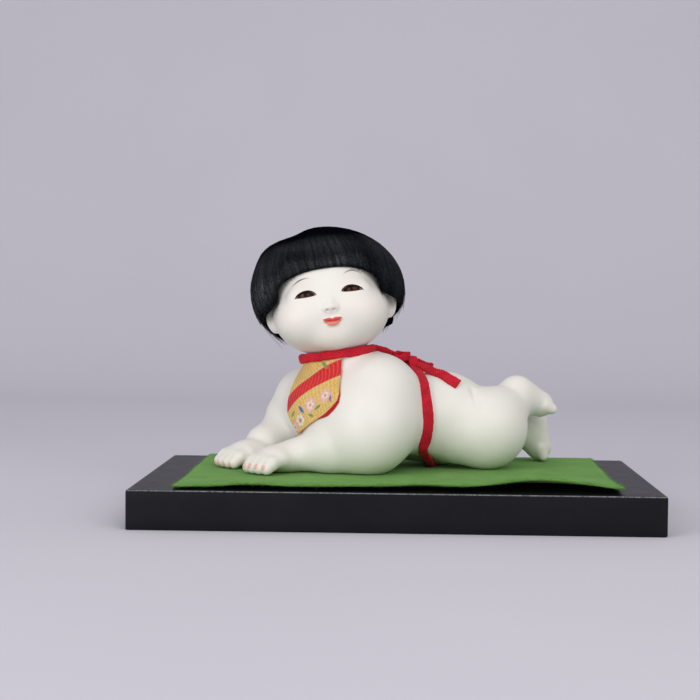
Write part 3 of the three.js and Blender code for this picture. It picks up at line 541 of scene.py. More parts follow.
# Body: one coat over torso, arms and legs, which ends just above the mat
BASE = 0.3
NECK_H = 32.0
body = Field((-119, -64, -1.2), (114, 62, 80), 0.75)
for shape, blend in (
        (ball((-31, 0, 36), (74, 70, 60)), 6),  # chest
        (ball((-17, -1, 45), (58, 74, 54)), 6),  # upper back
        (ball((8, 0, 30.6), (70, 73, 56)), 8),  # belly
        (ball((28, 0, 28.4), (54, 70, 56)), 8),  # hips
        (ball((29, -13, 35.3), (49, 49, 49)), 5),  # near buttock
        (ball((29, 13, 35.3), (49, 49, 49)), 5),  # far buttock
        (placed(bone((0, 0, -NECK_RISE), NECK_R, (0, 0, -20), NECK_R), NECK_IN_DOLL), 4)):  # neck
    body.add(shape, blend)
neck = (lambda x, y, z: np.maximum(np.sqrt(x * x + y * y) - NECK_R,
                                   np.abs(z + NECK_H / 2) - NECK_H / 2),
        np.array([-NECK_R, -NECK_R, -NECK_H]), np.array([NECK_R, NECK_R, 0.0]))
body.add(placed(neck, NECK_IN_DOLL), 3)

# Each finger's tip, its way and how far up its nail faces
nails = []
FINGER_GAP, FINGER_R, TOE_GAP = 5.7, 3.6, 3.23


def arm(side, shoulder, shoulder_r, upper, upper_r, elbow_x, elbow_r, middle_r, wrist_r, reach,
        spread, hand_turn, blend):
    """An arm that lies on the mat, with its hand; side is -1 for the near one."""
    elbow = np.array([elbow_x, side * 38, elbow_r + BASE])
    wrist = np.array([-reach, side * (spread + 4), wrist_r + BASE])
    middle = np.array([*(elbow + wrist)[:2] / 2, middle_r + BASE])
    body.add(bone(shoulder, shoulder_r, upper, upper_r), 14)
    body.add(bone(elbow, elbow_r - 0.4, middle, middle_r), 2.4 * blend)
    body.add(bone(middle, middle_r - 0.4, wrist, wrist_r), blend)
    hand = shift(-reach, side * spread, 0) @ turn("Z", hand_turn)
    body.add(placed(ball((-11.5, 0, 8.6), (27, 24.5, 17)), hand), blend)
    for place in (-1.5, -0.5, 0.5, 1.5):
        y = FINGER_GAP * place
        root, knuckle, tip = move(hand, [(-18.5, y, 8.8), (-25.0, y, 6.9),
                                         (-30.4 + 0.9 * abs(place), y, 3.9)])
        body.add(bone(root, FINGER_R + 0.1, knuckle, FINGER_R), 4.4)
        body.add(bone(knuckle, FINGER_R, tip, FINGER_R - 0.1), 2.7)
        nails.append((tip, unit(tip - knuckle), 0.86 if side < 0 else 0.30))
    inner = -side * 10.8
    thumb_root, thumb_tip = move(hand, [(-9.0, inner, 6.8), (-19.5, inner - side * 2.6, 3.8)])
    body.add(bone(thumb_root, 4.2, thumb_tip, 3.2), 2.5)


def foot(heel, front, across):
    """A foot from its heel to the roots of its five toes."""
    heel, front, across = np.array(heel, float), np.array(front, float), unit(across)
    way = unit(front - heel)
    for s in (-1, 1):
        body.add(bone(heel, 8.4, front + s * across * 1.9, 6.7), 7)
    for place in (-2, -1, 0, 1, 2):
        r = 3.6 if place == -2 else 2.9
        root = front + across * place * TOE_GAP
        tip = root + way * (6.2 - abs(place + 0.5) * 0.5)
        body.add(bone(root, r, tip, r - 0.3), 2.0)


arm(side=-1, shoulder=(-17.8, -25.9, 45), shoulder_r=24, upper=(-23, -31, 30.5), upper_r=28.5,
    elbow_x=-28, elbow_r=19, middle_r=14, wrist_r=10, reach=67.5, spread=14, hand_turn=28, blend=5)
arm(side=1, shoulder=(-41.6, 26, 42.4), shoulder_r=22.5, upper=(-54, 36, 28), upper_r=19.5,
    elbow_x=-52, elbow_r=17, middle_r=15.5, wrist_r=12.5, reach=77, spread=19, hand_turn=20,
    blend=2.5)
body.add(ball((-47.2, 30, 39.4), (43.8, 43.8, 43.8)), 3)  # far shoulder
NEAR_THIGH, NEAR_KNEE, NEAR_ANKLE = (52, -26, 25.0), (58, -26, 32.0), (72, -20, 40.6)
FAR_KNEE, FAR_ANKLE = (66, 24, 17.3), (90, 12, 21.3)
NEAR_HEEL, FAR_HEEL = np.array([75.4, -18, 46.0]), np.array([95, 8, 26.3])
for a, ra, b, rb, blend in (
        ((12, -14, 31.0), 22.0, (40, -19.5, 28.5), 22.5, 8),
        ((38, -21, 25.0), 22.5, NEAR_THIGH, 24.7, 3.5),
        (NEAR_THIGH, 24.3, NEAR_KNEE, 17.5, 4),
        (NEAR_KNEE, 17, NEAR_ANKLE, 12, 5),
        (NEAR_ANKLE, 11.6, NEAR_HEEL, 8.6, 4),
        ((38, 20, 26.5), 24, FAR_KNEE, 17, 6),
        (FAR_KNEE, 16.6, FAR_ANKLE, 12, 5),
        (FAR_ANKLE, 11.6, FAR_HEEL, 8.6, 4)):
    body.add(bone(a, ra, b, rb), blend)

# The hollow under the belly and the crease of the near thigh
body.carve(placed(ball((0, 0, 0), (46, 62, 22)), shift(10, -25, -3) @ turn("Y", 12)), 5)
CREASE = [((40.6, -33.0, 50.6), 2.1), ((39.8, -39.1, 45.8), 1.8), ((39.6, -44.9, 39.1), 0.9)]
for (a, ra), (b, rb) in zip(CREASE, CREASE[1:]):
    body.carve(bone(a, ra, b, rb), 1.8)

# Feet, and the flat underside
foot(NEAR_HEEL, NEAR_HEEL + 18.2 * unit((0.92, 0.12, -0.395)), (-0.13, 0.98, 0.1))
foot(FAR_HEEL, (101.5, 7.5, 9.0), (0.25, 0.97, 0))
body.d = np.maximum(body.d, BASE - body.axes[2].astype(np.float32)[None, None, :])

points, quads = body.mesh()
SHELL, BLUSH = np.array([0.83, 0.815, 0.775]), np.array([0.80, 0.62, 0.55])
# A little warm colour on the near leg and the finger ends
WARM_AT = (60, -22, 55)
warm = 0.45 * np.exp(-((points - WARM_AT) ** 2).sum(1) / 300)
for tip, _, _ in nails:
    warm = warm + 0.8 * np.exp(-((points - tip) ** 2).sum(1) / 18)
warm = clamp(warm)[:, None] * 0.16
make("body_coat", points, quads, SKIN, "doll", DOLL,
     ["torso_back_half", "torso_belly_half", "left_arm", "right_arm", "left_leg", "right_leg"],
     SHELL * (1 - warm) + BLUSH * warm)

# Painted nails: small shields on the finger ends
NAIL_L, NAIL_W, NAIL_RINGS, NAIL_SPOKES = 2.2, 1.8, 5, 14
t = np.linspace(0, 1, NAIL_RINGS)[:, None, None]
a = (np.arange(NAIL_SPOKES) * 2 * np.pi / NAIL_SPOKES)[None, :, None]
shields = []
for tip, way, high in nails:
    up = unit(np.array([0, 0, 1.0]) - way * way[2])
    out = unit(math.sqrt(1 - high ** 2) * way + high * up)
    length_way = unit(way - out * (way @ out))
    side_way = np.cross(out, length_way)
    p = body.settle(tip + out * 3.4 + length_way * (NAIL_L * t * np.cos(a) + 0.3)
                    + side_way * (NAIL_W * t * np.sin(a)))
    shields.append(p + body.normal(p) * (0.26 * (1 - t ** 4) - 0.07))
faces = lattice(NAIL_RINGS, NAIL_SPOKES, wrap=True)[:, OTHER_WAY]
faces = np.arange(len(nails))[:, None, None] * NAIL_RINGS * NAIL_SPOKES + faces
make("finger_nails", np.array(shields).reshape(-1, 3), faces.reshape(-1, 4), NAIL, "doll", DOLL)

# Head: face towards -Y in its own frame
head = Field((-44, -44, -44), (44, 46, 42), 0.42)
head.add(ball((0, 4, 4), (68, 73, 66)), 1)  # skull
head.add(ball((0, -5, -14), (71, 62, 52)), 8)  # jaw
for s in (-1, 1):
    head.add(ball((s * 17, -20.5, -19), (29, 25, 25)), 8)  # cheek
    head.add(ball((s * 13.9, -26.8, -5.5), (19, 9.5, 12)), 5)  # lids
head.add(ball((0, -24, -31), (18, 13, 12)), 9)  # chin
head.add(bone((0, -33.4, -9.5), 1.2, (-0.2, -35.9, -14.8), 2.3), 4.5)  # nose
for s in (-1, 1):
    head.add(ball((s * 2.6 - 0.2, -34.8, -15.8), (4.2, 4.4, 3.4)), 2)  # side of the nose
    head.carve(ball((s * 1.9 - 0.2, -37.3, -17.4), (1.9, 2.8, 1.2)), 0.9)  # nostril
    head.add(ball((s * 2.6, -34.7, -22.7), (6.2, 4.0, 1.9)), 1.3)  # upper lip
    ear = shift(s * 36.2, 3, -12.1) @ turn("Z", s * 20) @ turn("Y", s * 8)
    head.add(placed(ball((0, 0, 0), (8.6, 8.0, 17.5)), ear), 3.0)
    bowl = shift(s * 38.8, -1.6, -10.8) @ turn("Z", s * 35)
    head.carve(placed(ball((0, 0, 0), (3.6, 5.0, 9)), bowl), 1.5)
head.add(ball((0, -33.9, -25.3), (6.8, 4.2, 2.6)), 1.3)  # lower lip
for s in (-1, 1):
    mouth = shift(s * 3.0, -37.4, -23.75) @ turn("Y", -s * 17)
    head.carve(placed(ball((0, 0, 0), (7.0, 4.4, 0.6)), mouth), 0.6)

EYE, EYE_R, EYE_HALF = np.array([13.9, -25.4, -5.6]), 6.5, 6.3
LID = -1.3


def lid_high(u):
    """Upper edge of the eye opening; u runs outwards from the middle of the eye."""
    t = np.clip(np.where(u < -0.8, (u + 0.8) / 5.5, (u + 0.8) / 7.1), -1, 1)
    return LID + 3.2 * np.maximum(1 - t * t, 0) ** 0.72


def lid_low(u):
    """Lower edge of the eye opening."""
    t = np.clip(u / EYE_HALF, -1, 1)
    return LID - 0.42 * np.maximum(1 - t * t, 0)


for s in (-1, 1):
    low, high = EYE * (s, 1, 1) - (8, 16, 5), EYE * (s, 1, 1) + (8, 2, 5)
    cut, x, y, z = head.part(low, high)
    u = s * x - EYE[0]
    w = z - EYE[2]
    opening = np.maximum(np.maximum(w - lid_high(u), lid_low(u) - w), np.abs(u) - EYE_HALF) + 0 * y
    head.d[cut] = np.maximum(head.d[cut], -opening)
    head.carve(ball(EYE * (s, 1, 1), (2 * EYE_R + 0.3,) * 3), 0.2)

# The head stops just above the neck
up = HEAD_IN_NECK[2]
_, x, y, z = head.part([-np.inf] * 3, [np.inf] * 3)
above = up[0] * x + up[1] * y + up[2] * z + up[3]
head.d = np.maximum(head.d, (0.4 - above).astype(np.float32))

points, quads = head.mesh()
hx, hy, hz = points.T
front = hy < -20


# Face paint: blush, shadows, brows and lips
def soft(edge, width):
    """1 inside an edge, 0 outside it, over that width."""
    return clamp(0.5 - edge / width)


def spot(centre, radius):
    """A round soft patch on the head."""
    return np.exp(-((points - np.array(centre)) ** 2).sum(1) / (2 * radius ** 2))


paint = np.tile(SHELL, (len(points), 1))


def lay(colour, amount):
    global paint
    paint = paint * (1 - amount[:, None]) + np.array(colour) * amount[:, None]


def brow(s, u):
    """Height of the brow line; u runs outwards from the middle of the face."""
    d = u - 10.6
    return 4.3 + 0.28 * d - 0.0515 * d ** 2 if s < 0 else 4.3 + 0.694 * d - 0.0701 * d ** 2


for s in (-1, 1):
    lay((0.80, 0.50, 0.42), 0.16 * spot((s * 20, -26, -19), 8))  # cheek
    lay((0.78, 0.50, 0.43), 0.20 * spot((s * 36, -8, -20), 7))  # below the ear
    # The nostril patch is painted shade in the nostrils.
    lay((0.46, 0.29, 0.25), 0.34 * spot((s * 2.1 - 0.2, -36.6, -17.0), 1.0))  # nostril
    lay((0.70, 0.45, 0.38), 0.10 * spot((s * 13.5, -31, -1), 5))  # lid
    lay((0.30, 0.28, 0.28),  # temple
        0.30 * spot((s * 32.5, -12, -4), 3.2) + 0.24 * spot((s * 33, -15, -9), 3.0))
    ends = np.maximum(9.6 - s * hx, s * hx - 22.4)
    line = soft(np.abs(hz - brow(s, s * hx)) - 0.25, 1.0)
    lay((0.33, 0.27, 0.24), 0.5 * line * soft(ends + 0.8, 3.0) * front)
lay((0.72, 0.50, 0.42), 0.15 * spot((0, -30, -34), 7))  # chin
lip_u = np.abs(hx)
bow_top = -21.6 - 0.75 * bell(hx) - 0.75 * clamp((lip_u - 2.8) / 4.2) ** 1.2
middle = -24.3 + 2.1 * clamp(lip_u / 6.2) ** 1.5
bottom = -26.5 + 2.7 * clamp(lip_u / 5.2) ** 2.2
upper = soft(np.maximum(hz - bow_top, middle - hz), 0.45) * soft(lip_u - 6.2, 0.6) * front
lower = soft(np.maximum(hz - middle, bottom - hz), 0.45) * soft(lip_u - 5.0, 0.6) * front
lay((0.86, 0.20, 0.13), lower * 0.9)
lay((0.70, 0.035, 0.030), upper * 0.95)
line = soft(np.abs(hz - middle) - 0.18, 0.4) * soft(lip_u - 5.7, 0.6)
lay((0.36, 0.02, 0.02), 0.55 * line * front)
make("head_coat", points, quads, SKIN, "head", HEAD,
     ["head_face_half", "head_back_half"], paint)


# Glass eyes
IRIS_R, IRIS_RIM_R, PUPIL_R = 4.9, 4.7, 1.5


def eye(name, s):
    """A ball that looks slightly up; s is -1 for the right one."""
    rings, spokes = 40, 48
    a = np.linspace(0.0, np.pi, rings)
    k = np.arange(spokes) * 2 * np.pi / spokes
    gaze = unit((s * -0.02, -1.0, 0.07))
    side = unit(np.cross(gaze, (0, 0, 1.0)))
    up = np.cross(side, gaze)
    bulge = 1 + 0.035 * bell(a / 0.5)
    p = (gaze * np.cos(a)[:, None, None]
         + (side * np.cos(k)[:, None] + up * np.sin(k)[:, None]) * np.sin(a)[:, None, None])
    p = (p * (EYE_R * bulge)[:, None, None] * 0.985).reshape(-1, 3) + EYE * (s, 1, 1)
    far = np.repeat(np.sin(a) * EYE_R, spokes)
    back = np.repeat(a > 1.5, spokes)
    white = np.tile((0.62, 0.66, 0.72), (len(p), 1))
    iris = soft(far - IRIS_R, 0.5)[:, None]
    ring = soft(np.abs(far - IRIS_RIM_R) - 0.3, 0.4)[:, None]
    pupil = soft(far - PUPIL_R, 0.6)[:, None]
    colour = white * (1 - iris) + np.array((0.078, 0.029, 0.017)) * iris
    colour = colour * (1 - 0.8 * ring) + np.array((0.02, 0.008, 0.006)) * 0.8 * ring
    colour = colour * (1 - pupil) + np.array((0.012, 0.005, 0.004)) * pupil
    colour[back] = (0.6, 0.6, 0.62)
    make(name + "_glass", p, lattice(rings, spokes, wrap=True), GLASS, "head", HEAD,
         [name], colour)


eye("left_eye", 1)
eye("right_eye", -1)


# Brush strokes on the face: lash lines, brows, fine hairs at the temples
def on_face(u, w):
    """Points on the coat seen straight from the front."""
    p = np.stack([u, np.full(len(u), -44.0), w], 1)
    for _ in range(60):
        p[:, 1] += np.maximum(head.at(p) * 0.8, 0)
    return p


strokes, widths, tones = [], [], []


def stroke(u, w, radius, tone):
    """A line on the face, sunk into it by part of its thickness."""
    p = on_face(u, w)
    strokes.append(p - head.normal(p) * (0.4 * radius)[:, None])
    widths.append(radius)
    tones.append(tone)


t = np.linspace(0, 1, 24)
swell = np.sin(np.pi * t)
for s in (-1, 1):
    u = -6.5 + 13.6 * t
    stroke(s * (u + EYE[0]), EYE[2] + lid_high(u) + 0.2 - 0.4 * clamp((u - 5.8) / 1.3),
           0.14 + 0.34 * swell ** 0.5, (0.026, 0.014, 0.012))
    stroke(s * (u * 0.92 + EYE[0]), EYE[2] + lid_low(u) - 0.18, 0.05 + 0.05 * swell,
           (0.40, 0.28, 0.25))
    for _ in range(12):
        drift = rng.uniform(-0.45, 0.45)
        a, b = np.sort(rng.uniform(0, 1, 2) * 0.35 + (0.0, 0.65))
        v = a + (b - a) * t
        u = 9.8 + 12.2 * v
        stroke(s * u, brow(s, u) + drift * swell, 0.05 + 0.10 * swell, (0.24, 0.20, 0.18))
    for _ in range(46):
        z0 = rng.uniform(-4, 2)
        x0 = 30.6 + 0.20 * (2 - z0) + rng.normal() * 0.45
        drop = rng.uniform(5, 11)
        stroke(s * (x0 + 0.9 * t + rng.normal() * 0.25), z0 - drop * t, 0.12 * (1 - 0.85 * t),
               (0.17, 0.16, 0.16))
p, faces = tubes(np.array(strokes), np.array(widths), 4)
make("face_brushwork", p, faces, STROKE, "head", HEAD,
     paint=np.repeat(np.array(tones), len(t) * 4, axis=0))

# Hair: a dark cap under fine strands that run from the whorl to the cut edge
HAIR_C, HAIR_R = np.array([-0.3, 6, 1.8]), np.array([48.0, 42.1, 39.8])
HAIR_TONE = np.array([0.0022, 0.0025, 0.0046])
TILT = turn("Y", 9.4)
WHORL = unit((-0.26, 0.14, 0.945))
FORE = unit(np.array([0, -1.0, 0]) - np.array([0, -1.0, 0]) @ WHORL * WHORL)
ASIDE = np.cross(WHORL, FORE)
FACE_HALF, BROW_CUT, NAPE_CUT, NOT_HERE = 31.8, 8.7, -24.5, -50


def beyond_cut(p, ease=0.0):
    """How far a point is past the cut edge of the hair: fringe, ears or nape."""
    x, y, z = p[..., 0], p[..., 1], p[..., 2]
    side = np.abs(x)
    end = np.where(x < 0, -3.0, -6.0)
    arch = end + (BROW_CUT - end) * np.sqrt(clamp(1 - (side / FACE_HALF) ** 2.8))
    face = np.where((side < FACE_HALF) & (y < 4), arch - z, NOT_HERE)
    ear = np.where(x < 0, -4.4 - 0.8 * np.maximum(side - 33, 0),
                   -6.6 - 0.75 * np.maximum(side - 35, 0))
    ears = np.where((y < 7) & (side >= 31), ear - 2.2 * clamp((-6 - y) / 8) - z, NOT_HERE)
    nape = np.where((x > 37) & (y >= 7), np.maximum(-14 - 0.35 * (y - 7), NAPE_CUT), NAPE_CUT)
    return np.maximum(np.maximum(face, ears), nape - z) - ease


def room(p):
    """How far the fringe may stand off the forehead."""
    return (1.5 + 0.28 * np.maximum(-beyond_cut(p), 0) + 0.9 * np.maximum(np.abs(p[..., 0]) - 24, 0)
            + 0.06 * np.maximum(p[..., 1] + 30, 0) ** 1.6)


def dip(p):
    """Hollow of the whorl, the parting beside it, and a fuller lock further out."""
    x, z = p[..., 0], p[..., 2]
    near = np.arccos(np.clip(unit(((p - HAIR_C) @ TILT[:3, :3]) / HAIR_R) @ WHORL, -1, 1))
    return (2.0 * bell(near / 0.2) + 1.7 * bell((x + 17) / 8) * clamp((z - 24) / 10)
            - 1.6 * bell((x + 38) / 9) * bell((z - 32) / 9))


cap = Field((-54, -40, -27), (51, 51, 46), 0.6)
cap.add(placed(ball((0, 0.6, 0), 2 * HAIR_R - 2.2), shift(*HAIR_C) @ TILT), 1)
grid = np.stack(np.meshgrid(*cap.axes, indexing="ij"), -1)
off = head.at(grid)
cap.d = cap.d + dip(grid).astype(np.float32)
over = off - room(grid) + 0.9
cap.d = 0.5 * (cap.d + over + np.sqrt((cap.d - over) ** 2 + 4)).astype(np.float32)
for limit in (beyond_cut(grid, -0.9), 0.1 - off):
    cap.d = np.maximum(cap.d, limit.astype(np.float32))
points, quads = cap.mesh(1)
make("hair_cap", points, quads, HAIR, "head", HEAD,
     ["hair_fringe", "hair_crown", "hair_back"],
     np.tile((0.0010, 0.0011, 0.0016, 0.0), (len(points), 1)))


def flow(phi, theta):
    """Points on the hair's outside, by the way from the whorl and how far down it they are."""
    down = FORE * np.cos(phi)[..., None] + ASIDE * np.sin(phi)[..., None]
    s = WHORL * np.cos(theta)[..., None] + down * np.sin(theta)[..., None]
    return HAIR_C + (s * HAIR_R) @ TILT[:3, :3].T


def strands(name, count, steps, thin, thick, deep, stray):
    """Hairs cut at the edge; stray is 1 for loose ones that stand off, else 0."""
    phi = rng.uniform(0, 2 * np.pi, count)
    theta = np.linspace(0.02, 2.6, 500)
    edge = np.argmax(beyond_cut(flow(phi[:, None], theta[None, :])) > 0, axis=1)
    cut = flow(phi, theta[edge])
    loose = stray * clamp(np.maximum(np.abs(cut[:, 0]) - 26, cut[:, 1] + 8) / 6)
    last = theta[edge] + rng.normal(0, 0.005, count) + loose * np.abs(rng.normal(0, 0.05, count))
    first = np.where(rng.uniform(size=count) < 0.3, 0.03, rng.uniform(0.03, 0.7, count) * last)
    t = np.linspace(0, 1, steps)
    th = first[:, None] + (last - first)[:, None] * t
    bend = rng.normal(0, 0.018, count)[:, None] * np.sin(np.pi * t) + 0.16 * (1 - th / 2.0) ** 2
    paths = flow(phi[:, None] + bend, th)
    clump = 0.6 * np.sin(phi * 37)[:, None] + 0.4 * np.sin(phi * 83 + 1.3)[:, None]
    lift = -0.35 - rng.uniform(0, deep, count)[:, None] * t + 0.16 * clump * clamp(t * 2)
    lift = lift - dip(paths) - 0.9 * clamp((t - 0.6) / 0.4) ** 2
    astray = np.where(paths[:, -1, 0] < -30, 2.0, 1.1) * np.abs(rng.normal(0, 1, count))
    lift = lift + stray * astray[:, None] * t ** 5
    ruffled = np.abs(rng.normal(0, 0.9, count))[:, None]
    lift = lift + ruffled * clamp((-36 - paths[..., 0]) / 8) * t ** 4
    outward = unit(((paths - HAIR_C) @ TILT[:3, :3]) / HAIR_R ** 2) @ TILT[:3, :3].T
    paths = paths + outward * lift[..., None]
    under = np.where(rng.uniform(size=count) < 0.55, 0.0, rng.uniform(0, 0.9, count))
    gap = np.maximum(head.at(paths) - 0.5, 0)
    inwards = under[:, None] * (1 - stray) * gap * clamp((t - 0.55) / 0.45)
    paths = paths - outward * inwards[..., None]
    for _ in range(2):
        over = head.at(paths) - room(paths) * (1 + 0.4 * stray)
        paths = paths - head.normal(paths) * (0.5 * (over + np.sqrt(over ** 2 + 1)))[..., None]
    paths[..., 2] += np.maximum(beyond_cut(paths), 0) * (1 - stray)
    inside = np.maximum(0.3 - head.at(paths), 0)
    paths = paths + head.normal(paths) * inside[..., None]
    radius = rng.uniform(thin, thick, count)[:, None] * (1 - 0.6 * t ** 3)
    tone = rng.uniform(0.5, 1.6, count)[:, None, None] * HAIR_TONE * np.ones((steps, 1))
    lock = 0.5 + 0.25 * np.sin(phi * 53 + 3 * np.sin(phi * 11) + 0.6 * rng.normal(size=count))
    lock = lock + 0.25 * np.sin(phi * 91 + 4 * np.sin(phi * 7 + 1))
    x, z = paths[..., 0], paths[..., 2]
    gloss = clamp((31 - z) / 12) * (0.7 + 0.3 * clamp((z - 6) / 10))
    gloss = gloss * ((0.42 + 0.8 * lock ** 2) * (0.8 + 0.2 * np.sin(phi * 6 + 0.7)))[:, None]
    gloss = gloss * (1 - 0.45 * clamp((x - 12) / 14))
    tone = np.concatenate([tone, gloss[..., None]], -1).reshape(-1, 4)
    p, faces = tubes(paths, radius)
    make(name, p, faces, HAIR, "head", HEAD, paint=np.repeat(tone, 3, axis=0))


strands("hair_strands", count=8600, steps=15, thin=0.17, thick=0.30, deep=0.5, stray=0.0)
strands("hair_flyaways", count=560, steps=10, thin=0.07, thick=0.13, deep=0.2, stray=1.0)


# Red crepe: neck band, waist band, back cord and bow
def tie(name, node, band, matrix=DOLL):
    """A crepe band on the doll that stands for a node."""
    points, faces, uv = band
    return make(name, points, faces, CREPE, "doll", matrix, [node], uv=uv)


def brought_out(points, level):
    """The points, with those inside the coat moved out to that level above it."""
    sunk = body.at(points) < level
    points[sunk] = body.settle(points[sunk], level)
    return points


a = np.linspace(0, 2 * np.pi, 150, endpoint=False)
ring = np.stack([np.cos(a), np.sin(a), 0 * a], 1)
wobble = 0.25 * np.sin(7 * a) + 0.2 * np.sin(13 * a + 1)
path = ring * (NECK_R + 0.4)
path[:, 2] = 0.6 * wobble - 1.3 + clamp(-ring[:, 1])
tie("neck_tie", "neck_band", ribbon(path, ring, 5.4, 3.6 + wobble, True, crumple=0.30, seed=3,
                                    size=4.5, square=0.6), NECK)

# The waist band is a turn round the belly that slips back under it
VIEWER = np.array([-0.276, -0.961, 0.0])  # towards the camera, in the doll's frame
near = [(10, -3, 62.5), (10.2, -12, 60.5), (9.5, -19, 58), (8.4, -27.5, 54), (7.6, -33.5, 49.5),
        (7.7, -37, 42.3), (8, -38.9, 33.4), (7.7, -38.8, 26.5), (7.5, -35.8, 19.5),
        (8.0, -32.2, 15), (11.5, -27, 10.5), (16.5, -20.5, 6), (20.5, -12, 2.5)]
far = [(28, 1, 1.2), (27, 13, 2.8), (21, 22, 6.5), (13, 31, 14), (9.5, 36, 22), (9, 37.5, 30),
       (9.3, 35, 42), (9.8, 28, 51), (10.2, 18, 57.5), (10, 7, 61.5)]
path = smooth_path(near + far + near[:1], 241)[:-1]
for _ in range(3):
    path = brought_out(path, 0.2)
    path = (np.roll(path, 1, 0) + 2 * path + np.roll(path, -1, 0)) / 4
path[:, 2] = np.maximum(path[:, 2], 0.9)
facing = 0.55 * (clamp(-path[:, 1] / 12) * clamp((path[:, 2] - 8) / 8))[:, None]
normal = unit(body.normal(path) * (1 - facing) + VIEWER * facing)
fold = bell((path[:, 2] - 15) / 2.2) * (path[:, 1] < 0)
tuck = clamp((15 - path[:, 2]) / 4) * (path[:, 1] < 0)
points, faces, uv = ribbon(path, normal, 7.5 - 2.2 * fold - 1.5 * tuck, 1.7 + 0.9 * fold, True,
                           crumple=0.28, seed=5)
points[:, 2] = np.maximum(points[:, 2], BASE + 0.05)
tie("waist_tie", "waist_band", (points, faces, uv))

# The back cord runs from the neck band to the bow
KNOT = np.array([10.0, -2, 61.5])
start = move(NECK_IN_DOLL, (NECK_R + 0.5, 4.5, -2.0))
guide = smooth_path([start, (-8, -2, 70), (0, -2, 66), KNOT + (-3, 0, 0)], 60)
path = smooth_path(brought_out(guide, 0.4)[::6], 60)
tie("back_tie", "back_cord", ribbon(path, body.normal(path), 4.4, 3.6, crumple=0.5, seed=8,
                                    size=3.2, square=0.9))

TAIL_POINTS, OFF_COAT = 44, 0.3


def tail(name, node, guide, facing, seed):
    """A loose end of the bow that lies on the back and widens to its tip."""
    path = brought_out(smooth_path(guide, TAIL_POINTS), OFF_COAT)
    path = smooth_path(path[::4].tolist() + [path[-1]], TAIL_POINTS)
    normal = unit(body.normal(path) + VIEWER * facing)
    obj = tie(name, node, ribbon(path, normal, np.linspace(5.4, 7.2, TAIL_POINTS), 1.8, seed=seed))
    world = move(DOLL, path + normal * 0.85) * MM
    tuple(world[0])


tail("bow_tail_near", "bow_tail_left", [
    (10.5, -2.5, 64.5), (14.5, -7, 62.8), (18.5, -13, 60.3), (23, -20.5, 57.8), (27.2, -27.8, 54.2),
    (31.2, -31.2, 51.8)], facing=0.55, seed=10)
tail("bow_tail_far", "bow_tail_right", [
    (11, 0, 64), (15.5, 6, 62), (20, 13, 59.5), (25, 20, 57), (29.5, 26.5, 53), (33, 30, 50)],
    facing=0.0, seed=12)


def loop(name, node, base, way, length, apart, width, taper, seed):
    """A short ribbon turned back on itself, standing on its edge."""
    way, up = unit(way), np.array([0.1, -0.35, 1.0])
    up = unit(up - way * (way @ up))
    aside = np.cross(up, way)
    a = np.linspace(0.2, 2 * np.pi - 0.2, 50)
    path = (np.array(base) + way * (length / 2 * (1 - np.cos(a)))[:, None]
            + aside * (apart / 2 * np.sin(a) * (0.4 + 0.6 * np.sin(a / 2)))[:, None]
            + up * (0.6 * np.sin(2 * a))[:, None])
    normal = np.cross(unit(np.gradient(path, axis=0)), up)
    rounded = 0.5 + 0.5 * np.sin(np.pi / 2 * clamp(np.minimum(a, 2 * np.pi - a) / 1.1))
    width = width * (1 - taper * np.sin(a / 2)) * rounded
    points, faces, uv = ribbon(path - normal * 0.9, normal, width, 1.9, crumple=0.45, seed=seed,
                               size=4, square=0.7)
    tie(name, node, (brought_out(points, OFF_COAT), faces, uv))


loop("bow_loop_near", "bow_loop_left", base=KNOT + (-2.6, -4.6, 7.4), way=(-1, -0.14, 0.05),
     length=9.6, apart=5.5, width=8.2, taper=0.58, seed=21)
loop("bow_loop_far", "bow_loop_right", base=KNOT + (1.0, 1.0, 3.6), way=(1, 0.12, -0.2),
     length=14.5, apart=4.5, width=5.6, taper=0.30, seed=25)

a = np.linspace(0, 2 * np.pi, 60, endpoint=False)
path = KNOT + np.stack([0.8 + 0.6 * np.sin(2 * a), -1.0 + 3.4 * np.cos(a),
                        3.0 + 2.8 * np.sin(a)], 1)
normal = np.stack([0 * a, np.cos(a), np.sin(a)], 1)
points, faces, uv = ribbon(path, normal, 6.2, 1.9, True, crumple=0.5, seed=31, size=3.2, square=0.7)
tie("bow_knot_wrap", "bow_knot", (brought_out(points, OFF_COAT), faces, uv))

# Bib: brocade over a red lining, laid on the chest under the neck band
CHEST = shift(-31, 0, 0) @ turn("Z", 25)
CHEST_FRONT = -46.0
BIB = np.array([
    (-18.4, 69.3), (-19.5, 63), (-22.9, 56.1), (-28.8, 48.2), (-29.6, 44.4), (-27.2, 40.6),
    (-22.6, 36.0), (-11.3, 29.8), (-3.6, 25.6), (3.8, 21.8), (5.6, 22.9), (7.6, 28), (10.2, 31),
    (12.6, 35.6), (13, 39.3), (14, 46.5), (15.2, 51.2), (18.6, 57.7), (21.2, 62.5), (21.4, 69.3)])
BIB_MIDDLE = np.array([-4, 48])
LINING = BIB_MIDDLE + (BIB - BIB_MIDDLE) * 0.955
LINING[3:7] = [(-29.2, 47.7), (-30.6, 43.1), (-28.7, 39.3), (-24.4, 35.0)]
# Cloth laid over the chest is longer and larger than its front view
LAID_LONGER, LAID_LARGER = 1.10, 1.15


